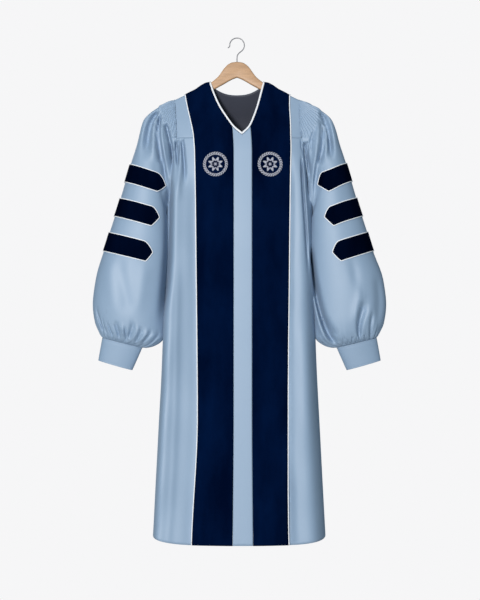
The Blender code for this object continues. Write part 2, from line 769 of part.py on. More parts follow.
def make_neck_binding(white):
    """The white binding round the V, from one shoulder to the other. It turns at the same
    heights as the edges it is sewn to."""
    rings = []
    for _, side in SIDES:
        edge = yoke_surface(side)
        heights = [edge(0, step, 0.0).z for step in YOKE_STEPS[2:-1]]
        heights += [placket_top_z(1), placket_top_z(0.5)]
        rings.append([binding_ring(side, z) for z in heights])
    foot = binding_ring(1, placket_top_z(0))
    loft("neck_binding", [*rings[0], foot, *reversed(rings[1])], white)


def loft(name, rings, finish):
    """A closed body through rings of points, with its two ends filled."""
    bm = bmesh.new()
    made = [[bm.verts.new(point) for point in ring] for ring in rings]
    for ring in made:
        for a, b in zip(ring, ring[1:] + ring[:1]):
            bm.edges.new((a, b))
    for first, second in zip(made, made[1:]):
        edges = [edge for edge in bm.edges if all(v in first for v in edge.verts) or all(v in second for v in edge.verts)]
        bmesh.ops.bridge_loops(bm, edges=edges)
    bmesh.ops.contextual_create(bm, geom=made[0])
    bmesh.ops.contextual_create(bm, geom=made[-1])
    return add_object(name, bm, finish)


# Sleeve, cuff and bars
def make_sleeve(side_name, side, blue):
    def is_fluted(share, s):
        turn = abs(math.pi - 2 * math.pi * share)
        return s <= FLUTED_ROWS and turn <= FLUTED_TO + 0.01

    def sleeve(share, s, lift):
        return hung(side, sleeve_surface(share, s, lift))

    def cuff(share, s, lift):
        return hung(side, cuff_surface(share, s, lift))

    wall(f"sleeve_{side_name}", sleeve, even(SLEEVE_COLUMNS), SLEEVE_ROWS, 0.0, CLOTH, blue,
         closed=True, finer=is_fluted)
    wall(f"cuff_{side_name}", cuff, even(CUFF_COLUMNS), (0, 0.5, 1), 0.0, CUFF_CLOTH, blue, closed=True)


class SleeveLattice:
    """The sleeve's own corner points, so that what is sewn on it can share them."""

    def __init__(self):
        self.points = {}
        for column in range(SLEEVE_COLUMNS):
            share = column / SLEEVE_COLUMNS
            for s in SLEEVE_ROWS:
                base = sleeve_surface(share, s, 0.0)
                self.points[column, s] = (base, sleeve_surface(share, s, 1.0) - base)

    def at(self, degrees, s, lift):
        """Degrees are from the sleeve's outer line, positive to the front."""
        place = (180 - degrees) / 360 * SLEEVE_COLUMNS
        left = math.floor(place + 1e-9)
        across = place - left
        row = max(k for k in range(len(SLEEVE_ROWS) - 1) if SLEEVE_ROWS[k] <= s)
        low, high = SLEEVE_ROWS[row], SLEEVE_ROWS[row + 1]
        down = (s - low) / (high - low)
        corners = [
            (self.points[(left + i) % SLEEVE_COLUMNS, (low, high)[j]], (1 - across, across)[i] * (1 - down, down)[j])
            for i in (0, 1)
            for j in (0, 1)
        ]
        point = sum((corner[0] * weight for corner, weight in corners), Vector())
        normal = sum((corner[1] * weight for corner, weight in corners), Vector()).normalized()
        return point + normal * lift

    def station(self, degrees, height_of):
        """The station where this column crosses a line given as height against half width."""
        low, high = SLEEVE_ROWS[0], SLEEVE_ROWS[-2]
        for _ in range(34):
            middle = (low + high) / 2
            point = self.at(degrees, middle, 0.0)
            low, high = (middle, high) if point.z > height_of(point.x) else (low, middle)
        return low


def turned(bar, side):
    """The bar as it shows on one sleeve: each hangs turned a little farther from the front."""
    shift = side * BAR_SKEW
    bends = [(x + shift, z) for x, z in (bar.bend_top, bar.bend_low, bar.tip)]
    return bar._replace(bend_top=bends[0], bend_low=bends[1], tip=bends[2])


def bar_edges(bar):
    """The bar's top and bottom edges, as heights against half width."""

    def line(a, b, x):
        return mix(a[1], b[1], (x - a[0]) / (b[0] - a[0]))

    blunt = 0.0030

    def top(x):
        if x >= bar.bend_top[0]:
            return line(bar.outer_top, bar.bend_top, x)
        share = max(0.0, min(1.0, (bar.bend_top[0] - x) / (bar.bend_top[0] - bar.tip[0])))
        return mix(bar.bend_top[1], bar.tip[1] + blunt, share**2.0 * 0.75 + share * 0.25)

    def low(x):
        if x >= bar.bend_low[0]:
            return line(bar.outer_low, bar.bend_low, x)
        share = max(0.0, min(1.0, (bar.bend_low[0] - x) / (bar.bend_low[0] - bar.tip[0])))
        return mix(bar.bend_low[1], bar.tip[1] - blunt, share)

    return top, low


def tip_degrees(lattice, bar):
    """How far round the sleeve the bar's tip lies, on the front and on the back."""
    low, high = 60.0, 165.0
    for _ in range(30):
        middle = (low + high) / 2
        s = lattice.station(middle, lambda x: bar.tip[1])
        low, high = (middle, high) if lattice.at(middle, s, 0).x > bar.tip[0] else (low, middle)
    return low


def make_bars(side_name, side, navy, white):
    lattice = SleeveLattice()
    for number, bar in enumerate(BARS, start=1):
        bar = turned(bar, side)
        top, low = bar_edges(bar)
        reach = tip_degrees(lattice, bar)
        whole = math.floor(reach / BAR_STEP)
        columns = [-reach, *[BAR_STEP * k for k in range(-whole, whole + 1)], reach]
        if reach - whole * BAR_STEP < 3:
            del columns[1], columns[-2]
        spans = {degrees: (lattice.station(degrees, top), lattice.station(degrees, low)) for degrees in columns}

        def at(index, share, lift):
            degrees = columns[round(index)]
            first, last = spans[degrees]
            return hung(side, lattice.at(degrees, mix(first, last, share), lift))

        gap = CLOTH + bar.gap
        wall(f"velvet_bar_{side_name}_{number}", at, list(range(len(columns))), even(bar.strips), gap, gap + VELVET, navy)
        outline = [at(i, 0, gap) for i in range(len(columns))]
        outline += [at(i, 1, gap) for i in reversed(range(len(columns)))]
        lifted = [at(i, 0, gap + 1) for i in range(len(columns))]
        lifted += [at(i, 1, gap + 1) for i in reversed(range(len(columns)))]
        path = []
        count = len(outline)
        for i, point in enumerate(outline):
            along = (outline[(i + 1) % count] - outline[i - 1]).normalized()
            up = (lifted[i] - point).normalized()
            out = along.cross(up) * side
            path.append(point + out.normalized() * (BAR_PIPING_RADIUS + LAYER_GAP) + up * BAR_PIPING_RADIUS)
        cord(f"bar_piping_{side_name}_{number}", path, BAR_PIPING_RADIUS, white, closed=True, resolution=0)


# Hanger
def make_hanger(beech, steel):
    top, bottom = [], []
    for row in HANGER:
        top.append((row.x, row.top if row.top is not None else ridge_z(row.x) - WOOD_DROP))
        bottom.append((row.x, row.bottom))
    end_top = ridge_z(ARM_END_X) - 0.0040
    right = [*top, (ARM_END_X - 0.0015, end_top), (ARM_END_X, mix(end_top, bottom[-1][1], 0.5)), *reversed(bottom)]
    left = [(-x, z) for x, z in reversed(right) if x > 0]
    bm = bmesh.new()
    face = bm.faces.new([bm.verts.new((x, -WOOD_THICKNESS / 2, z)) for x, z in [*right, *left]])
    raised = bmesh.ops.extrude_face_region(bm, geom=[face])["geom"]
    bmesh.ops.translate(bm, vec=(0, WOOD_THICKNESS, 0), verts=[v for v in raised if isinstance(v, bmesh.types.BMVert)])
    rims = [edge for edge in bm.edges if abs(edge.verts[0].co.y - edge.verts[1].co.y) < 1e-6]
    bmesh.ops.bevel(bm, geom=rims, offset=WOOD_BEVEL, segments=2, profile=0.5, affect="EDGES", material=-1)
    hanger = add_object("hanger_wood", bm, beech)

    cutter = bmesh.new()
    bmesh.ops.create_cone(cutter, cap_ends=True, segments=12, radius1=HOOK_WIRE + 0.0004, radius2=HOOK_WIRE + 0.0004,
                          depth=2 * HOOK_HOLE_DEPTH)
    bmesh.ops.translate(cutter, vec=(0, 0, HANGER[0].top), verts=cutter.verts[:])
    drill = add_object("hook_hole_cutter", cutter, steel)
    drill.hide_render = True
    drill.display_type = "WIRE"
    hole = hanger.modifiers.new("hook hole", "BOOLEAN")
    hole.operation = "DIFFERENCE"
    hole.object = drill

    centre_z = HOOK_WIRE - HOOK_RADIUS
    path = [Vector((0, 0, HANGER[0].top - HOOK_HOLE_DEPTH + 0.002)), Vector((0, 0, -0.054)), Vector((0.0004, 0, -0.0490)),
            Vector((0.0022, 0, -0.0446)), Vector((0.0062, 0, -0.0402)), Vector((0.0112, 0, -0.0362))]
    start, end, steps = math.radians(-47), math.radians(186), 18
    for i in range(steps + 1):
        turn = mix(start, end, i / steps)
        path.append(Vector((HOOK_RADIUS * math.cos(turn), 0, centre_z + HOOK_RADIUS * math.sin(turn))))
    path.append(path[-1] + Vector((-0.0022, 0, -0.0028)))
    path.append(path[-1] + Vector((-0.0030, 0, -0.0022)))
    cord("hanger_hook", path, HOOK_WIRE, steel, resolution=1)


def main():
    for old in list(bpy.data.objects):
        bpy.data.objects.remove(old)
    blue = material("sky blue cloth", SKY_BLUE, 0.75)
    navy = material("navy velvet", NAVY, 0.95)
    white = material("white piping", WHITE, 0.60)
    charcoal = material("charcoal lining", CHARCOAL, 0.80)
    beech = material("beech", BEECH, 0.45)
    steel = material("steel wire", STEEL, 0.30, metallic=1.0)
    for side_name, side in SIDES:
        make_fronts(side_name, side, blue, navy, white)
        make_sleeve(side_name, side, blue)
        make_bars(side_name, side, navy, white)
    make_placket(blue)
    make_back(blue, charcoal)
    make_neck_binding(white)
    make_hanger(beech, steel)


main()
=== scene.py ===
"""The looks of a doctoral gown on its hanger: cloth, velvet, piping, folds and finishes.

Metres, +Z up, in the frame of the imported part: the origin is the underside of the hook's
crown and the gown's front faces -Y. The wearer's left is +X.
"""

import math
from collections import namedtuple

import bmesh
import bpy
import numpy as np
from bpy.props import FloatProperty, FloatVectorProperty, PointerProperty
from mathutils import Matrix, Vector


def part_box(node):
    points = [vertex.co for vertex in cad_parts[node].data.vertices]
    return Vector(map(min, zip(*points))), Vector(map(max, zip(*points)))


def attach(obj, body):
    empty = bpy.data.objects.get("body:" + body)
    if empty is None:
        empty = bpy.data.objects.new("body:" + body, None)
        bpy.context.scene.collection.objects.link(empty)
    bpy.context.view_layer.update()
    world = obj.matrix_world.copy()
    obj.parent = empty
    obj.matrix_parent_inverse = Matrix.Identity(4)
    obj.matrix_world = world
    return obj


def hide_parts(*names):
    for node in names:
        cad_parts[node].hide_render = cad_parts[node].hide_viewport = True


bl_info = {
    "name": "Graduation gown",
    "version": (1, 0, 0),
    "blender": (4, 5, 0),
    "location": "View3D > Sidebar > Gown",
    "description": "Dresses a doctoral gown on its hanger",
    "category": "Object",
}

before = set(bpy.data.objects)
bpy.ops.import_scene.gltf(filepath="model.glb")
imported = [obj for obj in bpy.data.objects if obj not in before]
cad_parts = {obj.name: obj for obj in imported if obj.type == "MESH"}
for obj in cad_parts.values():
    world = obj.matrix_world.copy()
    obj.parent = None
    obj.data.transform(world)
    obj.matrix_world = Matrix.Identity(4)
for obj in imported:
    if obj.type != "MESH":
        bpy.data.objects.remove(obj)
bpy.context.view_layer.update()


def table(columns, *rows):
    """Rows of numbers whose columns have these names."""
    row_kind = namedtuple("Row", columns)
    return tuple(row_kind(*row) for row in rows)


SIDES = (("right", -1), ("left", 1))

# Read from the solids
HEM_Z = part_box("back_panel")[0][2]
YOKE_SEAM_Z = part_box("front_yoke_left")[0][2]
HANGER_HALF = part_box("hanger_wood")[1][0]
WOOD_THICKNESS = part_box("hanger_wood")[1][1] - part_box("hanger_wood")[0][1]
HOOK_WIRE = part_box("hanger_hook")[1][1]

# Walls, layers, piping and binding
CLOTH = 0.0016
VELVET = 0.0020
CUFF_CLOTH = 0.0024
CUFF_SEAM_DEPTH = 0.0004
LINING = 0.0012
TWILL = 0.0009
LAYER_GAP = 0.0004
PIPING_RADIUS = 0.0015
PIPING_TUCK = 0.0002
BAR_PIPING_RADIUS = 0.0013
BAR_PIPING_TUCK = 0.0001
BINDING_WIDTH = 0.0052
BINDING_POINT = 0.0010
BAR_GAP = 0.0009
WELD = 0.00001
SEAM_GAP = 0.0002
SEAM_FADE = 0.006

# Rows of the grids: close ones run from above the armhole's end to below the underarm, and the
# powers bring rows together where the cloth turns over the hanger
CLOSE_ROWS, CLOSE_ABOVE, CLOSE_BELOW = 26, 0.006, 0.012
YOKE_POWER, PANEL_POWER, STRIP_POWER = 1.6, 1.5, 1.1
HALVINGS = 34
TOP_START_Z, TOP_ROUNDS = -0.15, 14

# How the gown hangs: its slopes, its lean to one side, and where it is drawn in
UNDERARM_Z = -0.470
NECK_POINT_X = 0.078
RIDGE_RADIUS = 0.0080
TENT_SLOPE = 0.42
FRONT_POWER = 0.50
BACK_POWER = 0.80
BLEND_DEPTH = 0.016
SWAY = 0.0070
SKEW = 0.0090
SWAY_LENGTH = 0.150
HEM_DRIFT, DRIFT_TOP_Z, DRIFT_LENGTH = 0.0070, -1.050, 0.350
HEM_RISE, HEM_RISE_POWER = 0.0160, 1.9
HEM_SWING = 0.18
PINCH = {-1: 0.0030, 1: 0.0085}
PINCH_X, PINCH_WIDTH = 0.240, 0.060
PINCH_TOP_Z, PINCH_LOW_Z, PINCH_FADE = -0.230, -0.680, 0.080
FRONT_LIMIT_Y = 0.012
BACK_NECK_DROP = 0.031
NECK_POINT_STEP = 0.0082
LINING_LOW_Z = YOKE_SEAM_Z + 0.012
ARMHOLE_GAP = 0.0001

# Level sections of the body: half width, depth to the front and the back, and the side seam's y
BODY = table(
    "z half_width front back seam_y",
    (-1.399, 0.2390, 0.112, 0.114, 0.012),
    (-1.130, 0.2252, 0.106, 0.108, 0.022),
    (-0.860, 0.2125, 0.100, 0.102, 0.034),
    (-0.600, 0.2062, 0.094, 0.094, 0.044),
    (-0.470, 0.2030, 0.088, 0.084, 0.036),
    (-0.380, 0.1940, 0.080, 0.074, 0.020),
    (-0.285, 0.1900, 0.070, 0.064, 0.008),
    (-0.200, 0.1880, 0.062, 0.056, 0.002),
    (-0.110, 0.1860, 0.058, 0.050, 0.000),
)

# The top edge of the cloth over the hanger
RIDGE = table(
    "x z",
    (0.000, -0.1250),
    (0.078, -0.1252),
    (0.120, -0.1470),
    (0.160, -0.1670),
    (0.187, -0.1795),
    (0.230, -0.1975),
)

# Half widths of the neck's V
NECKLINE = table(
    "z half",
    (-0.2780, 0.0000),
    (-0.2560, 0.0235),
    (-0.2260, 0.0410),
    (-0.1940, 0.0560),
    (-0.1580, 0.0685),
    (-0.1252, 0.0780),
)

# The neck binding's section: how far across it, and how high as a share of what it covers
BINDING_SECTION = (
    (0.00, 0.00), (0.00, 0.80), (0.18, 1.02), (0.40, 1.12),
    (0.65, 1.08), (0.85, 0.86), (1.00, 0.50), (1.00, 0.00),
)

# Distances from the middle to the placket's edge and the velvet's
FRONT_EDGES = table(
    "z placket velvet",
    (-1.399, 0.0278, 0.131),
    (-1.050, 0.0253, 0.122),
    (-0.600, 0.0252, 0.126),
    (-0.440, 0.0252, 0.128),
    (-0.285, 0.0252, 0.132),
    (-0.230, 0.0252, 0.137),
    (-0.155, 0.0252, 0.1445),
)

# Distances from the middle to the armhole's edge
ARMHOLE = table(
    "z half",
    (-0.455, 0.1930),
    (-0.430, 0.1900),
    (-0.390, 0.1880),
    (-0.340, 0.1840),
    (-0.310, 0.1780),
    (-0.285, 0.1730),
    (-0.260, 0.1705),
    (-0.230, 0.1710),
    (-0.150, 0.1730),
)

# Folds of the body. Place is 1 at the velvet's edge and 2 a quarter turn round the body on the
# fronts, and 0 at the middle and 1 at the quarter turn on the back. Lift is forwards on the
# fronts and outwards on the back.
FOLD_COLUMNS = "side top_place hem_place top_z low_z width lift"
FRONT_FOLDS = table(
    FOLD_COLUMNS,
    (-1, 1.56, 1.70, -0.32, -1.70, 0.34, 0.0480),
    (-1, 1.00, 1.00, -0.34, -1.70, 0.12, -0.0080),
    (-1, 1.34, 1.36, -0.60, -1.70, 0.06, 0.0020),
    (1, 1.00, 1.00, -0.30, -1.70, 0.08, -0.0090),
    (1, 1.34, 1.42, -0.30, -1.70, 0.30, 0.0260),
    (1, 1.02, 1.04, -1.12, -1.70, 0.08, -0.0090),
)
BACK_FOLDS = table(
    FOLD_COLUMNS,
    (-1, 0.10, 0.12, -0.29, -1.60, 0.050, -0.0150),
    (-1, 0.30, 0.33, -0.29, -1.60, 0.058, -0.0170),
    (-1, 0.62, 0.62, -0.35, -1.60, 0.070, -0.0110),
    (1, 0.13, 0.14, -0.29, -1.60, 0.050, -0.0160),
    (1, 0.36, 0.36, -0.29, -1.60, 0.058, -0.0160),
    (1, 0.66, 0.64, -0.35, -1.60, 0.070, -0.0120),
)
FOLD_TOP_FADE, FOLD_LOW_FADE = 0.14, 0.20
FOLD_WANDER, FOLD_UNEVENNESS = 0.012, 0.25
BACK_GATHERS = 18
BACK_GATHER_LIFT = 0.0032
GATHER_LENGTH = 0.190
EDGE_SHARE = 0.10
VELVET_FADE = 0.04

# Rings down the sleeve and the cuff: the outer and inner lines as seen from the front, and how far
# the ring reaches to the front and back of its middle
RING_COLUMNS = "s outer_x outer_z inner_x inner_z half_depth middle_y"
SLEEVE = table(
    RING_COLUMNS,
    (0, 0.1730, -0.1733, 0.2035, -0.4680, 0.042, 0.000),
    (1, 0.2270, -0.1965, 0.2060, -0.4780, 0.047, -0.002),
    (2, 0.2575, -0.2240, 0.2050, -0.4930, 0.052, -0.006),
    (3, 0.2830, -0.2900, 0.2000, -0.5150, 0.057, -0.012),
    (4, 0.3055, -0.3570, 0.1995, -0.5450, 0.060, -0.016),
    (5, 0.3350, -0.4580, 0.1995, -0.5900, 0.063, -0.018),
    (6, 0.3670, -0.5580, 0.2005, -0.6500, 0.065, -0.018),
    (7, 0.3960, -0.6590, 0.2045, -0.7220, 0.066, -0.018),
    (8, 0.4070, -0.7430, 0.2090, -0.7900, 0.064, -0.018),
    (9, 0.4010, -0.7940, 0.2120, -0.8350, 0.057, -0.017),
    (10, 0.3890, -0.8210, 0.2400, -0.8570, 0.042, -0.016),
    (11, 0.3800, -0.8370, 0.2730, -0.8640, 0.021, -0.014),
)
LAST_RING = 11
ARMHOLE_BLEND, NORMAL_BLEND = 2.2, 0.4
CUFF = table(
    RING_COLUMNS,
    (0, 0.3802, -0.8373, 0.2731, -0.8643, 0.021, -0.014),
    (1, 0.3927, -0.9010, 0.3016, -0.9270, 0.019, -0.003),
)

# Creases seen from the front, in millimetres: how wide each is at its top and at its foot,
# its lift outwards, and its path as distances from the middle and down from the hook.
CREASES = table(
    "side top_width low_width lift path",
    (-1, 4.8, 14.0, -30.0, "220,207 234,226 243,248 251,273 255,304 260,345"),
    (-1, 6.0, 9.0, 6.0, "225,224 233,248 237,276 239,318 236,362"),
    (-1, 4.2, 8.0, -34.0, "213,213 223,263 224,290 217,346 211,373 203,434"),
    (-1, 6.0, 8.0, 7.0, "206,246 211,274 211,318 197,401 195,456 197,511"),
    (-1, 4.0, 6.0, -20.0, "200,242 197,262 194,284 190,309 188,345 187,386"),
    (-1, 4.5, 3.0, -18.0, "174,291 173,316 171,340 170,368"),
    (-1, 3.0, 5.5, -14.0, "159,288 156,318 152,346 151,379 151,418"),
    (-1, 4.5, 8.0, 5.0, "164,294 163,318 163,360 166,415 167,470"),
    (-1, 3.0, 4.0, 3.0, "180,299 179,324 178,360 175,401"),
    (-1, 2.0, 2.6, -9.0, "188,293 188,318 185,345"),
    (-1, 2.0, 2.6, -9.0, "167,290 167,312 166,334"),
    (-1, 2.0, 2.6, -7.0, "154,288 153,307 151,329"),
    (1, 2.0, 2.4, -9.0, "189,293 190,308 192,325"),
    (1, 2.0, 2.4, -7.0, "170,290 171,306 172,322"),
    (1, 4.5, 10.0, -30.0, "232,210 240,229 247,248 252,290 252,318 250,345"),
    (1, 5.5, 7.0, 5.0, "242,246 243,273 241,304 238,340"),
    (1, 4.2, 7.0, -34.0, "232,230 233,279 230,304 221,359 215,387 208,442"),
    (1, 6.5, 8.0, 8.0, "225,246 220,274 208,346 204,387 204,470 208,517"),
    (1, 3.0, 3.0, -6.0, "209,265 202,282 197,295 194,312"),
    (1, 2.8, 2.8, -6.0, "203,287 200,304 198,320"),
    (1, 3.0, 4.0, -18.0, "181,294 185,313 190,338 193,365 196,396"),
    (1, 2.8, 5.0, -15.0, "177,296 179,324 182,351 186,390 188,429 190,473"),
    (1, 2.8, 4.5, -18.0, "171,335 171,388 176,465 179,498 185,611 188,663"),
    (1, 4.0, 4.0, 4.0, "178,360 180,415 183,470 187,539 191,608"),
    (1, 6.0, 7.5, -45.0, "198,589 202,628 217,726 226,770 252,828 274,848"),
    (-1, 10.0, 11.0, -60.0, "193,395 193,470 195,560 198,620 202,680 208,745 216,795"),
    (1, 4.5, 5.0, 10.0, "192,589 195,628 208,732 213,770 238,834 260,850"),
    (1, 6.0, 7.0, -14.0, "235,781 248,806 270,831"),
    (1, 11.0, 3.5, -16.0, "346,740 335,770 329,798 329,820 332,842"),
    (1, 11.0, 11.0, 5.0, "336,710 322,754 314,803"),
    (1, 6.0, 3.0, -7.0, "366,765 361,798 360,820 360,839"),
    (1, 12.0, 12.0, -6.0, "379,671 383,718 382,765 371,804"),
    (1, 14.0, 12.0, -4.0, "320,611 317,655 320,699"),
    (1, 2.0, 2.0, -4.0, "286,834 287,856"),
    (1, 2.0, 2.0, -4.0, "311,831 310,850"),
    (1, 1.6, 1.6, -3.0, "299,837 299,853"),
    (1, 1.6, 1.6, -3.0, "322,831 323,848"),
    (1, 1.8, 1.8, -3.0, "344,826 345,845"),
    (-1, 3.0, 3.0, -9.0, "394,760 387,782 379,804 371,826"),
    (-1, 2.2, 2.2, -3.5, "376,784 372,806 363,826"),
    (-1, 2.6, 2.4, -6.0, "362,798 356,814 348,834"),
    (-1, 6.0, 3.0, -9.0, "340,795 334,817 329,839"),
    (-1, 2.6, 2.4, -6.0, "313,809 312,828 309,845"),
    (-1, 6.5, 3.2, -10.0, "289,795 298,817 305,839"),
    (-1, 4.2, 3.0, -7.0, "267,809 277,832 291,850"),
    (-1, 5.0, 3.0, -6.0, "243,817 255,836 275,854"),
    (-1, 5.0, 3.2, -4.5, "222,823 238,842 262,857"),
    (-1, 4.0, 3.6, 4.5, "322,804 320,817 318,834"),
    (-1, 4.0, 3.6, 5.0, "277,806 286,828 298,845"),
    (-1, 4.0, 3.6, 5.0, "252,814 264,834 282,850"),
    (-1, 17.0, 17.0, 2.6, "364,617 356,677 345,732 331,776"),
    (-1, 17.0, 15.0, 3.2, "260,628 266,691 273,732 282,776"),
    (-1, 15.0, 15.0, -4.0, "336,617 320,677 309,732 306,765"),
)

# Creases of the sleeve's other side. Angle is from its outer line, positive to the front, and
# width is in degrees.
SLEEVE_FOLDS = table(
    "top_s low_s top_angle low_angle width lift",
    (1.15, 3.4, -62, -60, 9, -0.0110),
    (1.10, 3.8, -100, -118, 10, -0.0130),
    (1.20, 3.2, -38, -36, 8, -0.0070),
    (1.10, 3.4, -128, -142, 9, -0.0080),
    (6.2, 10.9, -84, -76, 17, -0.0070),
    (6.2, 10.9, -132, -120, 12, -0.0090),
    (5.0, 10.5, -40, -48, 20, -0.0050),
)

# The fluted patch of the sleeve head, from the armhole out to here
PATCH = table(
    "z x",
    (-0.320, 0.186),
    (-0.284, 0.197),
    (-0.262, 0.205),
    (-0.246, 0.213),
    (-0.233, 0.220),
    (-0.203, 0.226),
    (-0.150, 0.228),
)
PATCH_SKEW = 0.0060
PATCH_LOW_Z = -0.286
FAN_X = 0.150
FAN_Z = -0.160
FLUTE_START, FLUTE_FULL = 0.026, 0.046

# Pleats below the patch and gathers above the cuff: how many go round a sleeve, the station where
# they start or end, how many stations long they are, and how far round the pleats reach
RELEASED_PLEATS, PLEAT_START_S, PLEAT_LENGTH_S, PLEAT_REACH = 22, 1.1, 1.6, 140
CUFF_GATHERS, GATHER_END_S, GATHER_LENGTH_S = 26, 10.3, 1.5

# Velvet bars, each from the sleeve's outer line to its tip. Corners are x and z, and the creases
# are calmed in the area that the bars lie in.
BAR_AREA_TOP_Z, BAR_AREA_LOW_Z, BAR_AREA_X = -0.336, -0.635, 0.200
BAR_CALM = 0.88
BAR_BLUNTNESS = 0.0010
BAR_FIRST_S, BAR_LAST_S = 0.3, 9.5
BARS = table(
    "side outer_top outer_low bend_top bend_low tip",
    (-1, (0.3070, -0.3565), (0.3207, -0.4037), (0.2295, -0.3824), (0.2284, -0.4325), (0.2082, -0.4153)),
    (-1, (0.3312, -0.4518), (0.3469, -0.4996), (0.2432, -0.4756), (0.2432, -0.5273), (0.2236, -0.5048)),
    (-1, (0.3608, -0.5465), (0.3775, -0.5960), (0.2651, -0.5705), (0.2588, -0.6243), (0.2406, -0.6008)),
    (1, (0.2967, -0.3571), (0.3145, -0.4032), (0.2295, -0.3819), (0.2460, -0.4330), (0.2192, -0.4126)),
    (1, (0.3274, -0.4518), (0.3441, -0.4996), (0.2514, -0.4762), (0.2608, -0.5273), (0.2357, -0.5037)),
    (1, (0.3580, -0.5465), (0.3747, -0.5960), (0.2789, -0.5710), (0.2843, -0.6238), (0.2582, -0.6003)),
)

# The hanger's top and bottom edges from its middle outwards
HANGER = table(
    "x top bottom",
    (0.000, -0.0655, -0.1095),
    (0.014, -0.0672, -0.1150),
    (0.026, -0.0735, -0.1215),
    (0.036, -0.0835, -0.1275),
    (0.045, -0.0965, -0.1325),
    (0.054, -0.1080, -0.1375),
    (0.065, -0.1175, -0.1435),
    (0.078, -0.1265, -0.1500),
    (0.100, -0.1379, -0.1615),
    (0.120, -0.1479, -0.1715),
    (0.145, -0.1605, -0.1830),
    (0.170, -0.1726, -0.1935),
    (0.195, -0.1838, -0.2030),
    (0.208, -0.1905, -0.2065),
)
HANGER_ROUNDING = 0.0042
HOOK_RADIUS = 0.0205

# The hook's wire as x and z, from the wood up to its bow, and after the bow
HOOK_STEM = (
    (0.0000, -0.0560), (0.0003, -0.0510), (0.0014, -0.0468),
    (0.0040, -0.0424), (0.0078, -0.0388), (0.0112, -0.0362),
)
HOOK_TIP = ((-0.0012, -0.0018), (-0.0030, -0.0034), (-0.0052, -0.0050))

# The studio
LIGHT_COLOUR = (1.0, 0.965, 0.94)
SKY_COLOUR, SKY_STRENGTH = (0.62, 0.84, 1.0), 0.25
BACKDROP_COLOUR = (0.922, 0.922, 0.930)
CAMERA_DISTANCE, VIEW_HEIGHT, SENSOR_HEIGHT = 3.6, 1.680, 24.0
CAMERA_X, CAMERA_Z = 0.0084, -0.732
FLOOR_DROP, FLOOR_RADIUS = 0.54, 1.35
LAMPS = table(
    "name place aim width height power",
    ("key", (-1.1, -4.4, -0.10), (0, 0, -0.8), 0.7, 0.8, 196.0),
    ("fill", (2.6, -3.2, -0.6), (0, 0, -0.9), 1.4, 1.6, 3.0),
    ("top", (0.2, -0.9, 1.5), (0, 0, -0.4), 1.0, 0.8, 6.0),
    ("back", (-0.8, 2.4, 0.8), (0, 0, -0.7), 1.6, 1.8, 38.0),
)

# The round ornament on each velvet panel, in rings of stitches: how many, the first one's place,
# the ring's radius, a turn away from the place, a stitch's size, and its lean off the radius
ORNAMENT_Z = -0.3600
ORNAMENT_HALF = 0.0745
THREAD_LIFT = 0.0011
THREAD_WALL = 0.0005
STITCH_RINGS = table(
    "count first radius turned length width lean",
    (30, 0.0, 0.031950, 0.00, 0.0084, 0.0030, math.pi / 2 + 0.55),
    (30, 0.0, 0.028045, 0.00, 0.0084, 0.0030, math.pi / 2 - 0.55),
    (8, 0.5, 0.014200, -0.16, 0.0150, 0.0026, 0.256),
    (8, 0.5, 0.014200, 0.16, 0.0150, 0.0026, -0.256),
    (8, 0.5, 0.014200, 0.00, 0.0110, 0.0026, 0.0),
    (6, 0.0, 0.002600, 0.00, 0.0052, 0.0022, 0.0),
)


# Numbers, which take single values or whole arrays
def mix(a, b, share):
    return a + (b - a) * share


def ease(share):
    """Runs from 0 to 1 as share does, with no jump at either end."""
    share = np.clip(share, 0.0, 1.0)
    return share * share * (3 - 2 * share)


def bump(offset, width):
    return np.exp(-((offset / width) ** 2))


def read(table, column, at):
    """A table's column at values of its first one, on a smooth curve through the rows."""
    keys = np.array([row[0] for row in table])
    values = np.array([getattr(row, column) for row in table])
    slopes = np.diff(values) / np.diff(keys)
    before, after = slopes[:-1], slopes[1:]
    total = np.where(before + after == 0, 1.0, before + after)
    inner = np.where(before * after > 0, 2 * before * after / total, 0.0)
    tangents = np.concatenate(([slopes[0]], inner, [slopes[-1]]))
    at = np.clip(np.asarray(at, dtype=float), keys[0], keys[-1])
    i = np.clip(np.searchsorted(keys, at, side="right") - 1, 0, len(keys) - 2)
    length = keys[i + 1] - keys[i]
    t = (at - keys[i]) / length
    return (
        (1 + 2 * t) * (1 - t) ** 2 * values[i]
        + t * (1 - t) ** 2 * length * tangents[i]
        + t * t * (3 - 2 * t) * values[i + 1]
        + t * t * (t - 1) * length * tangents[i + 1]
    )


def smooth_least(a, b, blend):
    near = np.maximum(blend - np.abs(a - b), 0.0) / blend
    return np.minimum(a, b) - near * near * blend / 4


def points(x, y, z):
    return np.stack(np.broadcast_arrays(x, y, z), axis=-1).astype(float)


def unit(vectors):
    return vectors / np.maximum(np.linalg.norm(vectors, axis=-1, keepdims=True), 1e-12)


def wander(at, seed):
    """A slow, uneven wave, so that repeated folds differ in size."""
    total = 0.0
    for k, (rate, weight) in enumerate(((1.0, 0.5), (2.3, 0.3), (5.1, 0.2))):
        total = total + weight * np.sin(rate * at + seed * (1.7 + k) + k)
    return total


# The body's surface
def sway(z):
    return SWAY * ease((RIDGE[-2].z - z) / SWAY_LENGTH)


def skew(z):
    return SKEW * ease((RIDGE[1].z - z) / SWAY_LENGTH)


def hung(side, spots):
    """Points of the wearer's left side, moved to the side wanted and to where they hang."""
    moved = np.array(spots, dtype=float)
    x, z = moved[..., 0], moved[..., 2]
    pinch = np.where(np.asarray(side) > 0, PINCH[1], PINCH[-1])
    between = ease((PINCH_TOP_Z - z) / PINCH_FADE) * ease((z - PINCH_LOW_Z) / PINCH_FADE)
    pinch = pinch * ease((x - PINCH_X) / PINCH_WIDTH) * between
    moved[..., 0] = side * (x - pinch) + sway(z)
    return moved


def ridge_z(x):
    return read(RIDGE, "z", np.abs(x))


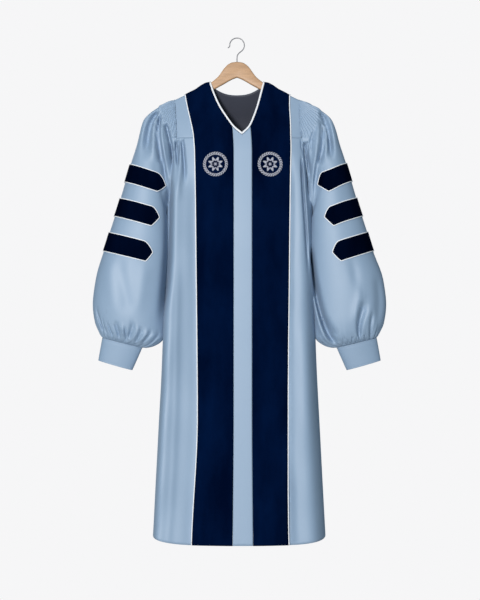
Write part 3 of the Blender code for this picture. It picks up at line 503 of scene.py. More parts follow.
def tent(drop):
    """How far cloth stands from the hanger's middle plane, that far below the ridge."""
    turn = RIDGE_RADIUS / math.sqrt(1 + TENT_SLOPE**2)
    tangent_drop = RIDGE_RADIUS - TENT_SLOPE * turn
    drop = np.maximum(drop, 0.0)
    round_part = np.sqrt(np.maximum(drop * (2 * RIDGE_RADIUS - drop), 0.0))
    return np.where(drop < tangent_drop, round_part, turn + TENT_SLOPE * (drop - tangent_drop))


def body_point(angle, z, facing):
    half = read(BODY, "half_width", z)
    seam_y = read(BODY, "seam_y", z)
    depth = np.where(facing < 0, read(BODY, "front", z), read(BODY, "back", z))
    x = half * np.sin(angle)
    power = np.where(facing < 0, FRONT_POWER, BACK_POWER)
    from_seam = (depth - facing * seam_y) * np.maximum(np.cos(angle), 0.0) ** power
    stand = smooth_least(tent(ridge_z(x) - z), from_seam + facing * seam_y, BLEND_DEPTH)
    return points(x, facing * stand, z)


def body_normal(angle, z, facing):
    step_angle, step_z = 0.01, 0.002
    across = body_point(np.minimum(angle + step_angle, math.pi / 2), z, facing) - body_point(
        angle - step_angle, z, facing
    )
    down = body_point(angle, z - step_z, facing) - body_point(angle, z + step_z, facing)
    normal = unit(np.cross(across, down))
    y, x = normal[..., 1] * facing, normal[..., 0]
    keep = (y > 0) | ((np.abs(y) < 0.2) & (x > 0))
    return np.where(keep[..., None], normal, -normal)


def angle_of(x, z):
    return np.arcsin(np.clip(x / read(BODY, "half_width", z), -1.0, 1.0))


def front_point(x, z, lift):
    """Points of the front, at this signed distance from its middle."""
    x, z = np.broadcast_arrays(np.asarray(x, dtype=float), np.asarray(z, dtype=float))
    angle = angle_of(np.abs(x), z)
    spot = body_point(angle, z, -1) + body_normal(angle, z, -1) * np.asarray(lift)[..., None]
    return hung(np.where(x < 0, -1.0, 1.0), spot)


def armhole_x(z):
    share = np.clip((z - UNDERARM_Z) / (ARMHOLE[0].z - UNDERARM_Z), 0.0, 1.0)
    low = mix(read(BODY, "half_width", UNDERARM_Z), ARMHOLE[0].half, share)
    return np.where(z <= ARMHOLE[0].z, low, read(ARMHOLE, "half", z))


def side_angle(z):
    return np.where(z <= UNDERARM_Z, math.pi / 2, angle_of(armhole_x(z), z))


def inner_edge_x(z):
    placket = read(FRONT_EDGES, "placket", z) + SEAM_GAP
    return np.where(z > NECKLINE[0].z, np.maximum(placket, read(NECKLINE, "half", z)), placket)


def front_angle(side, place, z):
    outer = read(FRONT_EDGES, "velvet", z) - side * HEM_DRIFT * ease((DRIFT_TOP_Z - z) / DRIFT_LENGTH)
    edge = mix(inner_edge_x(z), outer, np.minimum(place, 1)) + side * skew(z)
    angle = angle_of(edge, z)
    return np.where(place <= 1, angle, mix(angle, side_angle(z), np.maximum(place - 1, 0)))


def below_yoke(z):
    """Runs from 0 at the yoke seam to 1 just below it, so that no fold crosses the seam."""
    return ease((YOKE_SEAM_Z - z) / SEAM_FADE)


def fall(z):
    """The share of the way from the yoke seam to the hem."""
    return (YOKE_SEAM_Z - z) / (YOKE_SEAM_Z - HEM_Z)


def in_front(y):
    """1 on the gown's front, fading to 0 where its sides turn to the back."""
    return ease((FRONT_LIMIT_Y - y) / FRONT_LIMIT_Y)


def fold_lift(folds, side, place, z):
    """How far these folds move the cloth at each place."""
    lift = 0.0 * place
    for fold in folds:
        along = np.clip((fold.top_z - z) / (fold.top_z - max(fold.low_z, HEM_Z)), 0, 1)
        taper = ease((fold.top_z - z) / FOLD_TOP_FADE) * ease((z - fold.low_z) / FOLD_LOW_FADE)
        centre = mix(fold.top_place, fold.hem_place, along)
        centre = centre + FOLD_WANDER * wander(z * 9, fold.lift * 900)
        strength = taper * (1 + FOLD_UNEVENNESS * wander(z * 7, fold.width * 90))
        lift = lift + (side == fold.side) * fold.lift * bump(place - centre, fold.width) * strength
    return lift


def front_folds(side, angle, z):
    """How far forward the folds bring a front, at this angle round the body."""
    edge = front_angle(side, 1.0 + 0 * z, z)
    place = 1 + (angle - edge) / (math.pi / 2 - edge)
    return fold_lift(FRONT_FOLDS, side, place, z) * ease((2 - place) / EDGE_SHARE) * below_yoke(z)


def front_surface(side):
    """The fronts as a function of place, height and lift off the inner face."""

    def at(place, z, lift):
        angle = front_angle(side, place, z)
        spot, normal = body_point(angle, z, -1), body_normal(angle, z, -1)
        creases = crease_lift(side, spot[..., 0], z) * in_front(spot[..., 1]) * below_yoke(z)
        moved = (front_folds(side, angle, z) + creases) * ease((place - 1) / VELVET_FADE + 0.5)
        spot = spot + normal * lift[..., None]
        spot[..., 1] -= moved
        spot[..., 2] += HEM_SWING * moved * fall(z)
        return hung(side, spot)

    return at


def back_surface(place, z, lift):
    """The back as a function of place, from -1 at one side to 1 at the other."""
    side, share = np.where(place < 0, -1.0, 1.0), np.abs(place)
    angle = share * side_angle(z)
    around = angle / (math.pi / 2)
    gathered = np.where(z <= YOKE_SEAM_Z, ease(1 - (YOKE_SEAM_Z - z) / GATHER_LENGTH), 0.0)
    waves = (1 + np.cos(2 * math.pi * BACK_GATHERS * around + 0.5 * wander(side * around * 9, 2.0))) / 2
    moved = BACK_GATHER_LIFT * (1 + 0.4 * wander(side * around * 21, 4.0)) * waves * gathered
    moved = (moved + fold_lift(BACK_FOLDS, side, around, z)) * ease((1 - share) / EDGE_SHARE)
    spot = body_point(angle, z, 1) + body_normal(angle, z, 1) * (lift + moved)[..., None]
    return hung(side, spot)


def hem_rise(share):
    """How far the hem's ends at the side seams lie above its middle."""
    return HEM_RISE * np.clip(share, 0, 1) ** HEM_RISE_POWER


def top_of(column_x, edge_z=ridge_z):
    """Where columns of cloth meet the top edge: column_x gives their x at a height."""
    z = TOP_START_Z
    for _ in range(TOP_ROUNDS):
        z = edge_z(column_x(z))
    return z


def front_top(side, place):
    return top_of(lambda z: read(BODY, "half_width", z) * np.sin(front_angle(side, place, z)))


def back_edge_z(x):
    """The ridge, with the back of the neck cut out of it."""
    share = np.minimum(np.abs(x) / NECK_POINT_X, 1.0)
    steep = np.minimum(NECK_POINT_STEP, 3 * NECK_POINT_X * (1 - share))
    neck = float(ridge_z(NECK_POINT_X)) - np.maximum(BACK_NECK_DROP * (1 - share**2.4), steep)
    return np.where(x < NECK_POINT_X, np.minimum(ridge_z(x), neck), ridge_z(x))


def back_top(place):
    half = np.abs(place)
    return top_of(lambda z: read(BODY, "half_width", z) * np.sin(half * side_angle(z)), back_edge_z)


def yoke_height(share, top):
    """Heights down a yoke, with close rows where it turns over the hanger."""
    return top - (top - YOKE_SEAM_Z) * share**YOKE_POWER


def panel_height(share, top):
    """Heights down a velvet panel, with close rows where it turns over the hanger."""
    return top - (top - HEM_Z) * share**PANEL_POWER


# The sleeve's surface
def armhole_ring(turn):
    """Heights along the armhole, and which side of the body each one is on."""
    top = float(ridge_z(ARMHOLE[-1].half)) - ARMHOLE_GAP
    return mix(top, UNDERARM_Z, (1 - np.cos(turn)) / 2), np.where(turn >= 0, -1.0, 1.0)


def armhole_point(turn):
    z, facing = armhole_ring(turn)
    spot = body_point(angle_of(armhole_x(z), z), z, facing)
    spot[..., 0] += ARMHOLE_GAP
    return spot


def facing_out(normal, turn):
    """A tube's normals, turned away from its middle."""
    outwards = points(np.cos(turn), -np.sin(turn), 0 * turn)
    return np.where(np.sum(normal * outwards, axis=-1, keepdims=True) < 0, -normal, normal)


def ring_point(table, s, turn):
    outer_x, outer_z = read(table, "outer_x", s), read(table, "outer_z", s)
    inner_x, inner_z = read(table, "inner_x", s), read(table, "inner_z", s)
    reach = (1 + np.cos(turn)) / 2
    y = read(table, "middle_y", s) - read(table, "half_depth", s) * np.sin(turn)
    return points(mix(inner_x, outer_x, reach), y, mix(inner_z, outer_z, reach))


def sleeve_base(turn, s):
    ring = ring_point(SLEEVE, s, turn)
    share = ease(s / ARMHOLE_BLEND)[..., None]
    return armhole_point(turn) * (1 - share) + ring * share


def cuff_axis(turn):
    return unit(ring_point(CUFF, 1.0 + 0 * turn, turn) - ring_point(CUFF, 0.0 * turn, turn))


def sleeve_normal(turn, s):
    step_turn, step_s = 0.02, 0.04
    around = sleeve_base(turn + step_turn, s) - sleeve_base(turn - step_turn, s)
    low, high = np.maximum(s - step_s, 0.0), np.minimum(s + step_s, LAST_RING)
    own = facing_out(unit(np.cross(around, sleeve_base(turn, high) - sleeve_base(turn, low))), turn)
    z, facing = armhole_ring(turn)
    seam = body_normal(angle_of(armhole_x(z), z), z, facing)
    weight = np.clip(1 - s / NORMAL_BLEND, 0, 1)
    own = unit(mix(own, seam, weight[..., None]))
    axis = cuff_axis(turn)
    radial = unit(own - axis * np.sum(own * axis, axis=-1, keepdims=True))
    return unit(mix(own, radial, np.clip((s - LAST_RING) / NORMAL_BLEND + 1, 0, 1)[..., None]))


def crest(phase, sharpness):
    """A row of round ridges with narrow valleys between them."""
    return (np.abs(np.cos(phase / 2))) ** sharpness


def crease_trail(crease):
    """The smooth line that a crease runs along, as x and z."""
    path = np.array([pair.split(",") for pair in crease.path.split()], dtype=float) / 1000
    steps = len(path) - 1
    curves = np.polyfit(np.arange(steps + 1), path * (1, -1), min(steps, 3)).T
    at = np.linspace(0, steps, 4 * steps + 1)
    return np.stack([np.polyval(curve, at) for curve in curves], axis=-1)


def crease_lift(side, x, z):
    """How far the creases move cloth that shows from the front at x and z."""
    lift = 0.0 * x
    for crease in CREASES:
        if crease.side != side:
            continue
        trail = crease_trail(crease)
        nearest, along = 1.0 + 0 * x, 0.0 * x
        for i, (start, end) in enumerate(zip(trail, trail[1:])):
            way = end - start
            share = np.clip(((x - start[0]) * way[0] + (z - start[1]) * way[1]) / way.dot(way), 0, 1)
            gap = np.hypot(x - start[0] - share * way[0], z - start[1] - share * way[1])
            along = np.where(gap < nearest, (i + share) / (len(trail) - 1), along)
            nearest = np.minimum(gap, nearest)
        width = mix(crease.top_width, crease.low_width, along) / 1000
        fade = ease(along / 0.15 + 0.15) * ease((1 - along) / 0.35 + 0.1)
        lift = lift + crease.lift / 1000 * bump(nearest, width) * fade
    return lift


def bar_calm(x, z):
    """How much of a crease is left, since the bars hold the cloth flat."""
    area = ease((BAR_AREA_TOP_Z - z) / 0.026) * ease((z - BAR_AREA_LOW_Z) / 0.030)
    return 1 - BAR_CALM * area * ease((x - BAR_AREA_X) / 0.024)


def head_flutes(x, z, s, side, settings):
    """Flutes that fan out over the patch at the sleeve's head."""
    reach = read(PATCH, "x", z) + side * PATCH_SKEW
    patch = ease((reach - x) / 0.007) * ease((z - PATCH_LOW_Z) / 0.008) * mix(0.3, 1.0, ease(s / 0.15))
    away, fan = np.hypot(x - FAN_X, z - FAN_Z), np.degrees(np.arctan2(FAN_Z - z, x - FAN_X))
    flutes = crest(2 * math.pi * (fan + 1.2 * wander(away * 60, side)) / settings.flute_angle, 0.8)
    stand = settings.flute_lift * (1.2 - 0.2 * side)
    return stand * flutes * patch * ease((away - FLUTE_START) / (FLUTE_FULL - FLUTE_START))


def rear_folds(degrees, s):
    """The creases that don't show from the front."""
    lift = 0.0 * s
    for fold in SLEEVE_FOLDS:
        along = np.clip((s - fold.top_s) / (fold.low_s - fold.top_s), 0, 1)
        strength = ease(along / 0.22) * ease((1 - along) / 0.40)
        centre = mix(fold.top_angle, fold.low_angle, along)
        lift = lift + fold.lift * bump(degrees - centre, fold.width * mix(0.8, 1.4, along)) * strength
    return lift


def released_pleats(degrees, s, side, front, settings):
    """The pleats that the patch lets go, flatter where the creases take their place."""
    phase = np.radians(degrees) * RELEASED_PLEATS + 0.9 * wander(degrees / 23, 3 + side)
    size = settings.release_lift * (1 + 0.5 * wander(degrees / 11, 5 - side)) * mix(1.0, 0.3, front)
    long = PLEAT_LENGTH_S + 0.8 * wander(degrees / 9, 1 + 2 * side)
    shown = ease((s - PLEAT_START_S) / 0.30) * ease((long + 1.2 - s) / long)
    return size * crest(phase, 0.9) * shown * ease((PLEAT_REACH - np.abs(degrees)) / 16)


def cuff_gathers(degrees, s, side, front, settings):
    """Gathers that run up from the cuff for uneven lengths."""
    phase = np.radians(degrees) * CUFF_GATHERS + 1.1 * wander(degrees / 17, 7 + side)
    size = settings.cuff_gather_lift * (1 + 0.5 * wander(degrees / 10, 6)) * mix(1.0, 0.35, front)
    long = GATHER_LENGTH_S + 0.9 * wander(degrees / 8, 9 - side)
    drawn = ease((s - (GATHER_END_S - long)) / long) * mix(1.0, 0.45, ease((s - 10.5) / 0.5))
    return size * crest(phase, 0.9) * drawn


def sleeve_lift(turn, s, side, settings):
    """How far a sleeve's cloth moves outwards, and how far forwards."""
    degrees = np.degrees(turn)
    base = sleeve_base(turn, s)
    x, y, z = base[..., 0], base[..., 1], base[..., 2]
    front, calm = in_front(y), bar_calm(x, z)
    lift = head_flutes(x, z, s, side, settings) + cuff_gathers(degrees, s, side, front, settings)
    lift = lift + (released_pleats(degrees, s, side, front, settings) + rear_folds(degrees, s)) * calm
    seam_z, facing = armhole_ring(turn)
    follow = front_folds(side, angle_of(armhole_x(seam_z), seam_z), seam_z) * (facing < 0)
    return lift, crease_lift(side, x, z) * front * calm + follow * (1 - ease(s / 1.8))


def sleeve_surface(side, settings):
    """A sleeve as a function of turn, station and lift off its inner face."""

    def at(turn, s, lift):
        outwards, forward = sleeve_lift(turn, s, side, settings)
        spot = sleeve_base(turn, s) + sleeve_normal(turn, s) * (lift + outwards)[..., None]
        spot[..., 1] -= forward
        return hung(side, spot)

    return at


def cuff_surface(side):
    def at(turn, s, lift):
        around = ring_point(CUFF, s, turn + 0.02) - ring_point(CUFF, s, turn - 0.02)
        normal = facing_out(unit(np.cross(around, cuff_axis(turn))), turn)
        return hung(side, ring_point(CUFF, s, turn) + normal * lift[..., None])

    return at


# Mesh pieces
def finish_piece(name, bm, finish, node):
    mesh = bpy.data.meshes.new(name)
    bm.to_mesh(mesh)
    bm.free()
    mesh.materials.append(finish)
    mesh.shade_smooth()
    piece = bpy.data.objects.new(name, mesh)
    bpy.context.scene.collection.objects.link(piece)
    return settle(piece, node)


def settle(piece, node):
    """Makes a piece ride with the gown, and stand for its solid."""
    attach(piece, "root")
    if node:
        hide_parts(node)
    return piece


def add_wall(piece, thickness):
    """Gives a sheet its thickness, inwards from its outer face."""
    wall = piece.modifiers.new("wall", "SOLIDIFY")
    wall.thickness = thickness
    wall.offset = -1
    wall.use_even_offset = False


def even(count, start=0.0, end=1.0):
    return np.linspace(start, end, count + 1)


def lengths(spots):
    return np.sum(np.linalg.norm(np.diff(spots, axis=0), axis=-1), axis=0)


def shares_along(spots):
    """Where each line of a grid lies, as a share of the way from its first line to its last."""
    steps = np.mean(np.linalg.norm(np.diff(spots, axis=0), axis=-1), axis=-1)
    total = np.concatenate(([0.0], np.cumsum(steps)))
    return total / total[-1]


def rows_below_yoke(count, power):
    """Heights from the yoke seam to the hem, close together where the armhole ends."""
    top = YOKE_SEAM_Z - SEAM_GAP
    rows = top - (top - HEM_Z) * even(count) ** power
    close = even(CLOSE_ROWS, ARMHOLE[0].z + CLOSE_ABOVE, UNDERARM_Z - CLOSE_BELOW)
    return np.concatenate((rows[rows > close[0]], close, rows[rows < close[-1]]))


def cloth(name, place, columns, rows, stand, thickness, finish, node, closed=False):
    """A cloth piece: a fine grid laid on a surface, with a UV map in metres, given its wall.

    place(column, row, lift) gives points of the surface, which the outer face stands off."""
    bm = bmesh.new()
    bmesh.ops.create_grid(bm, x_segments=len(columns) - 1, y_segments=len(rows) - 1, size=0.5)
    u = np.array([round((vert.co.x + 0.5) * (len(columns) - 1)) for vert in bm.verts])
    v = np.array([round((0.5 - vert.co.y) * (len(rows) - 1)) for vert in bm.verts])
    across, down = np.meshgrid(columns, rows, indexing="ij")
    outer = place(across, down, 0 * across + stand)
    raised = place(across, down, 0 * across + stand + 0.001)
    wide, long = float(np.max(lengths(outer))), float(np.max(lengths(np.swapaxes(outer, 0, 1))))
    spots = outer[u, v]
    u_at, v_at = shares_along(outer) * wide, (1 - shares_along(np.swapaxes(outer, 0, 1))) * long
    for vert, spot in zip(bm.verts, spots):
        vert.co = spot
    uv = bm.loops.layers.uv.new("cut")
    for face in bm.faces:
        for loop in face.loops:
            i = loop.vert.index
            loop[uv].uv = (u_at[u[i]], v_at[v[i]])
    bm.normal_update()
    bm.faces.ensure_lookup_table()
    middle = bm.faces[len(bm.faces) // 2]
    i = middle.loops[0].vert.index
    if middle.normal.dot(Vector(raised[u[i], v[i]] - outer[u[i], v[i]])) < 0:
        bmesh.ops.reverse_faces(bm, faces=bm.faces[:])
    if closed:
        bmesh.ops.remove_doubles(bm, verts=bm.verts[:], dist=WELD)
    area = sum(face.calc_area() for face in bm.faces)
    piece = finish_piece(name, bm, finish, node)
    add_wall(piece, thickness)


def gown_piece(name, place, columns, rows, node, thickness=CLOTH, closed=False):
    """A piece cut from the gown's own cloth."""
    cloth(name, place, columns, rows, thickness, thickness, finish_of("gown cloth"), node,
          closed)


def tube(name, path, radius, finish, node, closed=False, resolution=3):
    """A sewn-on piping or a wire, round in section."""
    data = bpy.data.curves.new(name, "CURVE")
    data.dimensions = "3D"
    data.bevel_depth = radius
    data.bevel_resolution = resolution
    data.use_fill_caps = not closed
    spline = data.splines.new("POLY")
    spline.points.add(len(path) - 1)
    for spot, point in zip(spline.points, path):
        spot.co = (*point, 1)
    spline.use_cyclic_u = closed
    spline.use_smooth = True
    data.materials.append(finish)
    piece = bpy.data.objects.new(name, data)
    bpy.context.scene.collection.objects.link(piece)
    return settle(piece, node)


# Materials
class Value:
    """A socket in a material, so that sums are written as sums."""

    def __init__(self, nodes, socket):
        self.nodes, self.socket = nodes, socket

    def math(self, operation, *others):
        return self.nodes.add("ShaderNodeMath", {"operation": operation}, self, *others)

    def __add__(self, other):
        return self.math("ADD", other)

    def __sub__(self, other):
        return self.math("SUBTRACT", other)

    def __mul__(self, other):
        return self.math("MULTIPLY", other)


class Nodes:
    """A new material's nodes, and the one way they are added."""

    def __init__(self, name):
        self.material = bpy.data.materials.new(name)
        self.material.use_nodes = True
        self.tree = self.material.node_tree
        self.shader = self.tree.nodes["Principled BSDF"]

    def add(self, kind, settings, *values, output=0, **named):
        node = self.tree.nodes.new(kind)
        for key, value in settings.items():
            setattr(node, key, value)
        for key, value in [*enumerate(values), *named.items()]:
            socket = node.inputs[key.replace("_", " ") if isinstance(key, str) else key]
            if isinstance(value, Value):
                self.tree.links.new(value.socket, socket)
            elif value is not None:
                socket.default_value = value
        return Value(self, node.outputs[output])

    def coordinates(self, uv):
        if uv:
            return self.add("ShaderNodeUVMap", {"uv_map": "cut"})
        return self.add("ShaderNodeTexCoord", {}, output=3)

    def parts(self, vector):
        node = self.tree.nodes.new("ShaderNodeSeparateXYZ")
        self.tree.links.new(vector.socket, node.inputs[0])
        return [Value(self, out) for out in node.outputs]

    def noise(self, where, scale, detail=3.0, roughness=0.5):
        return self.add("ShaderNodeTexNoise", {}, where, Scale=scale, Detail=detail, Roughness=roughness)

    def stretch(self, where, scale):
        return self.add("ShaderNodeMapping", {}, where, Scale=scale)

    def blend(self, share, first, second):
        node = self.tree.nodes.new("ShaderNodeMix")
        node.data_type = "RGBA"
        for index, value in ((0, share), (6, first), (7, second)):
            if isinstance(value, Value):
                self.tree.links.new(value.socket, node.inputs[index])
            else:
                node.inputs[index].default_value = value if index == 0 else (*value, 1)
        return Value(self, node.outputs[2])

    def into(self, socket, value):
        self.tree.links.new(value.socket, self.shader.inputs[socket])

    def constant(self, **settings):
        for key, value in settings.items():
            self.shader.inputs[key.replace("_", " ")].default_value = value

    def relief(self, height, strength, distance):
        node = self.tree.nodes.new("ShaderNodeBump")
        node.inputs["Strength"].default_value = strength
        node.inputs["Distance"].default_value = distance
        self.tree.links.new(height.socket, node.inputs["Height"])
        self.tree.links.new(node.outputs[0], self.shader.inputs["Normal"])


def shaded(colour, factor):
    """A colour made darker or lighter by this factor."""
    return tuple(factor * part for part in colour)


def weave(nodes, thread):
    """Plain weave: threads over and under each other, in metres of the cut."""
    x, y, _ = nodes.parts(nodes.coordinates(uv=True))
    rate = math.pi / thread
    warp, weft = (x * rate).math("SINE"), (y * rate).math("SINE")
    return warp * weft


def gown_cloth(settings):
    """Light blue crepe with a soft sheen."""
    nodes = Nodes("gown cloth")
    place = nodes.coordinates(uv=False)
    blotches = nodes.noise(place, 7.0, 4.0, 0.6)
    slubs = nodes.noise(nodes.stretch(nodes.coordinates(uv=True), (900.0, 30.0, 1.0)), 1.0, 2.0)
    tone = blotches * 0.7 + slubs * 0.3
    nodes.into("Base Color", nodes.blend(tone, settings.cloth_dark, settings.cloth_light))
    nodes.into("Roughness", blotches * 0.14 + 0.54)
    nodes.constant(Sheen_Weight=0.04, Sheen_Roughness=0.45, Specular_IOR_Level=1.0)
    nodes.relief(weave(nodes, settings.thread) * 0.6 + slubs * 0.8, 0.10, 0.0003)
    return nodes.material


def velvet(settings, name="navy velvet", painted_shade_factor=1.0):
    """Navy velvet, its nap brushed in soft patches, with painted sheen: a lighter tone laid on where the
    noise is high, standing in for nap catching light.
    """
    nodes = Nodes(name)
    place = nodes.coordinates(uv=False)
    nap_and_sheen_drifts = nodes.noise(nodes.stretch(place, (9.0, 9.0, 3.0)), 1.0, 5.0, 0.6)
    nap = nodes.noise(place, 900.0, 2.0)
    # Painted sheen: the share of the lighter tone, high in the noise's soft patches. The same noise also
    # sets the real roughness and bump.
    share = ((nap_and_sheen_drifts * 0.75 + nap * 0.25 - 0.40) * 3.2).math("MAXIMUM", 0.0)
    # Painted shade: both tones are scaled by this factor, 1 on the panels and darker on the bars.
    dark, light = shaded(settings.velvet_dark, painted_shade_factor), shaded(settings.velvet_painted_sheen, painted_shade_factor)
    nodes.into("Base Color", nodes.blend(share, dark, light))
    nodes.into("Roughness", nap_and_sheen_drifts * 0.15 + 0.72)
    nodes.constant(Sheen_Weight=0.020, Sheen_Roughness=0.30, Specular_IOR_Level=0.0)
    nodes.constant(Sheen_Tint=(0.20, 0.32, 1.0, 1.0))
    nodes.relief(nap + nap_and_sheen_drifts, 0.25, 0.0006)
    return nodes.material


def shaded_bar_velvet(settings):
    """The sleeve bars' velvet, whose nap lies along the bars: a copy of the navy velvet with painted shade,
    both its tones darkened so that it looks darker.
    """
    # Painted shade: both velvet tones at 0.40 of their brightness.
    return velvet(settings, "bar velvet", 0.40)


def white_piping(settings):
    """White satin piping, its cover cut on the bias."""
    nodes = Nodes("white piping")
    place = nodes.coordinates(uv=False)
    x, y, z = nodes.parts(place)
    ribs = ((x + z + y * 0.6) * 2600.0).math("SINE")
    soil = nodes.noise(place, 30.0, 3.0)
    nodes.into("Base Color", nodes.blend(soil, shaded(settings.piping, 0.86), settings.piping))
    nodes.into("Roughness", soil * 0.15 + 0.45)
    nodes.constant(Sheen_Weight=0.15)
    nodes.relief(ribs, 0.20, 0.0002)
    return nodes.material


def neck_lining(settings):
    """Charcoal lining with a fine twill."""
    nodes = Nodes("neck lining")
    x, y, _ = nodes.parts(nodes.coordinates(uv=True))
    twill = ((x + y) * (math.pi / TWILL)).math("SINE")
    shade = nodes.noise(nodes.coordinates(uv=False), 14.0, 4.0)
    dark, light = shaded(settings.lining, 0.8), shaded(settings.lining, 1.2)
    nodes.into("Base Color", nodes.blend(shade, dark, light))
    nodes.into("Roughness", shade * 0.15 + 0.50)
    nodes.constant(Sheen_Weight=0.20)
    nodes.relief(twill, 0.15, 0.0002)
    return nodes.material


def beech(settings):
    """Oiled beech: long grain with short dark flecks."""
    nodes = Nodes("beech")
    place = nodes.coordinates(uv=False)
    grain = nodes.noise(nodes.stretch(place, (14.0, 90.0, 150.0)), 1.0, 6.0, 0.65)
    flecks = nodes.noise(nodes.stretch(place, (120.0, 700.0, 700.0)), 1.0, 2.0)
    mark = ((flecks - 0.60) * 5.0).math("MAXIMUM", 0.0).math("MINIMUM", 1.0)
    wood = nodes.blend((grain - 0.30) * 2.2, shaded(settings.wood, 0.66), settings.wood)
    nodes.into("Base Color", nodes.blend(mark * 0.5, wood, shaded(settings.wood, 0.4)))
    nodes.into("Roughness", grain * 0.2 + 0.32)
    nodes.constant(Specular_IOR_Level=0.45)
    nodes.relief(grain - mark * 0.3, 0.12, 0.0004)
    return nodes.material


def steel_wire(settings):
    """Bright drawn wire."""
    nodes = Nodes("steel wire")
    draw = nodes.noise(nodes.stretch(nodes.coordinates(uv=False), (900.0, 900.0, 60.0)), 1.0, 2.0)
    nodes.into("Base Color", nodes.blend(draw, (0.20, 0.20, 0.21), (0.32, 0.32, 0.34)))
    nodes.into("Roughness", draw * 0.2 + 0.35)
    nodes.constant(Metallic=1.0)
    nodes.relief(draw, 0.06, 0.0001)
    return nodes.material


def thread(settings):
    """Pale embroidery thread."""
    nodes = Nodes("embroidery thread")
    place = nodes.coordinates(uv=False)
    x, _, z = nodes.parts(place)
    strands = ((x + z * 1.7) * 5200.0).math("SINE")
    tone = nodes.noise(place, 260.0, 3.0)
    colour = settings.thread_colour
    nodes.into("Base Color", nodes.blend(tone, shaded(colour, 0.55), colour))
    nodes.into("Roughness", tone * 0.2 + 0.35)
    nodes.constant(Sheen_Weight=0.2)
    nodes.relief(strands, 0.3, 0.0002)
    return nodes.material


MAKERS = {
    "gown cloth": gown_cloth,
    "navy velvet": velvet,
    "bar velvet": shaded_bar_velvet,
    "white piping": white_piping,
    "neck lining": neck_lining,
    "beech": beech,
    "steel wire": steel_wire,
    "embroidery thread": thread,
}


def finish_of(name):
    """The material of this name, made when it is first wanted."""
    return bpy.data.materials.get(name) or MAKERS[name](bpy.context.scene.gown)


def colour_setting(name, description, default):
    return FloatVectorProperty(
        name=name, description=description, subtype="COLOR", default=default, min=0, max=1,
    )


def length_setting(name, description, default, most, least=0.0):
    return FloatProperty(
        name=name, description=description, unit="LENGTH", precision=4,
        default=default, min=least, max=most,
    )


class GownSettings(bpy.types.PropertyGroup):
    """Sizes and colours that a user may change."""

    cloth_light: colour_setting("Cloth, lighter", "Lighter tone of the gown's cloth", (0.252, 0.358, 0.490))
    cloth_dark: colour_setting("Cloth, darker", "Darker tone of the gown's cloth", (0.226, 0.328, 0.456))
    # The lighter velvet tone is painted sheen laid over the darker tone, which is the velvet's own colour.
    velvet_painted_sheen: colour_setting(
        "Velvet, painted sheen", "Tone of the velvet where its nap catches light", (0.0010, 0.0085, 0.0420)
    )
    velvet_dark: colour_setting(
        "Velvet, darker", "Tone of the velvet where its nap drinks light", (0.0001, 0.0026, 0.0150)
    )
    piping: colour_setting("Piping", "Colour of the piping and the neck binding", (0.90, 0.92, 0.95))
    lining: colour_setting("Lining", "Colour of the lining inside the back neck", (0.020, 0.025, 0.044))
    wood: colour_setting("Wood", "Colour of the hanger's wood", (0.57, 0.345, 0.190))
    thread_colour: colour_setting("Thread", "Colour of the embroidered ornament", (0.60, 0.61, 0.70))
    thread: length_setting("Weave", "Distance between the cloth's threads", 0.0008, 0.01, 0.0002)
    flute_angle: FloatProperty(
        name="Flute spacing", description="Degrees of the fan between flutes",
        default=4.2, min=2.0, max=20.0,
    )
    flute_lift: length_setting("Flute lift", "How far a flute stands up", 0.0032, 0.01)
    release_lift: length_setting("Pleat lift", "How far a pleat stands up below the flutes", 0.0055, 0.02)
    cuff_gather_lift: length_setting(
        "Cuff gather lift", "How far the gathers above the cuff stand up", 0.0060, 0.02
    )


# Operators, one for each piece or group of like pieces
class GOWN_OT_hanger(bpy.types.Operator):
    """Make the wooden hanger and its wire hook"""

    bl_idname = "gown.hanger"
    bl_label = "Hanger"

    def execute(self, context):
        xs = np.concatenate((even(26, 0.0, 0.090), even(12, 0.090, HANGER[-1].x)[1:]))
        top = [(x, float(read(HANGER, "top", x))) for x in xs]
        bottom = [(x, float(read(HANGER, "bottom", x))) for x in xs]
        end_x, end_z = HANGER_HALF, (top[-1][1] + bottom[-1][1]) / 2 - 0.001
        shoulder = (mix(top[-1][0], end_x, 0.8), mix(top[-1][1], end_z, 0.35))
        right = [*top, shoulder, (end_x, end_z), *reversed(bottom)]
        left = [(-x, z) for x, z in reversed(right) if x > 0]
        bm = bmesh.new()
        half = WOOD_THICKNESS / 2
        face = bm.faces.new([bm.verts.new((x, -half, z)) for x, z in [*right, *left]])
        raised = bmesh.ops.extrude_face_region(bm, geom=[face])["geom"]
        moving = [item for item in raised if isinstance(item, bmesh.types.BMVert)]
        bmesh.ops.translate(bm, vec=(0, WOOD_THICKNESS, 0), verts=moving)
        rims = [edge for edge in bm.edges if abs(edge.verts[0].co.y - edge.verts[1].co.y) < 1e-6]
        bmesh.ops.bevel(bm, geom=rims, offset=HANGER_ROUNDING, segments=5, profile=0.5,
                        affect="EDGES", material=-1)
        bmesh.ops.recalc_face_normals(bm, faces=bm.faces[:])
        finish_piece("wooden_hanger", bm, finish_of("beech"), "hanger_wood")

        centre_z = HOOK_WIRE - HOOK_RADIUS
        path = [(0, 0, HANGER[0].top - 0.004), *((x, 0, z) for x, z in HOOK_STEM)]
        for turn in np.radians(even(44, -47, 186)):
            path.append((HOOK_RADIUS * math.cos(turn), 0, centre_z + HOOK_RADIUS * math.sin(turn)))
        end_x, _, end_z = path[-1]
        path += [(end_x + x, 0, end_z + z) for x, z in HOOK_TIP]
        steel = finish_of("steel wire")
        tube("wire_hook", path, HOOK_WIRE, steel, "hanger_hook", resolution=5)
        return {"FINISHED"}


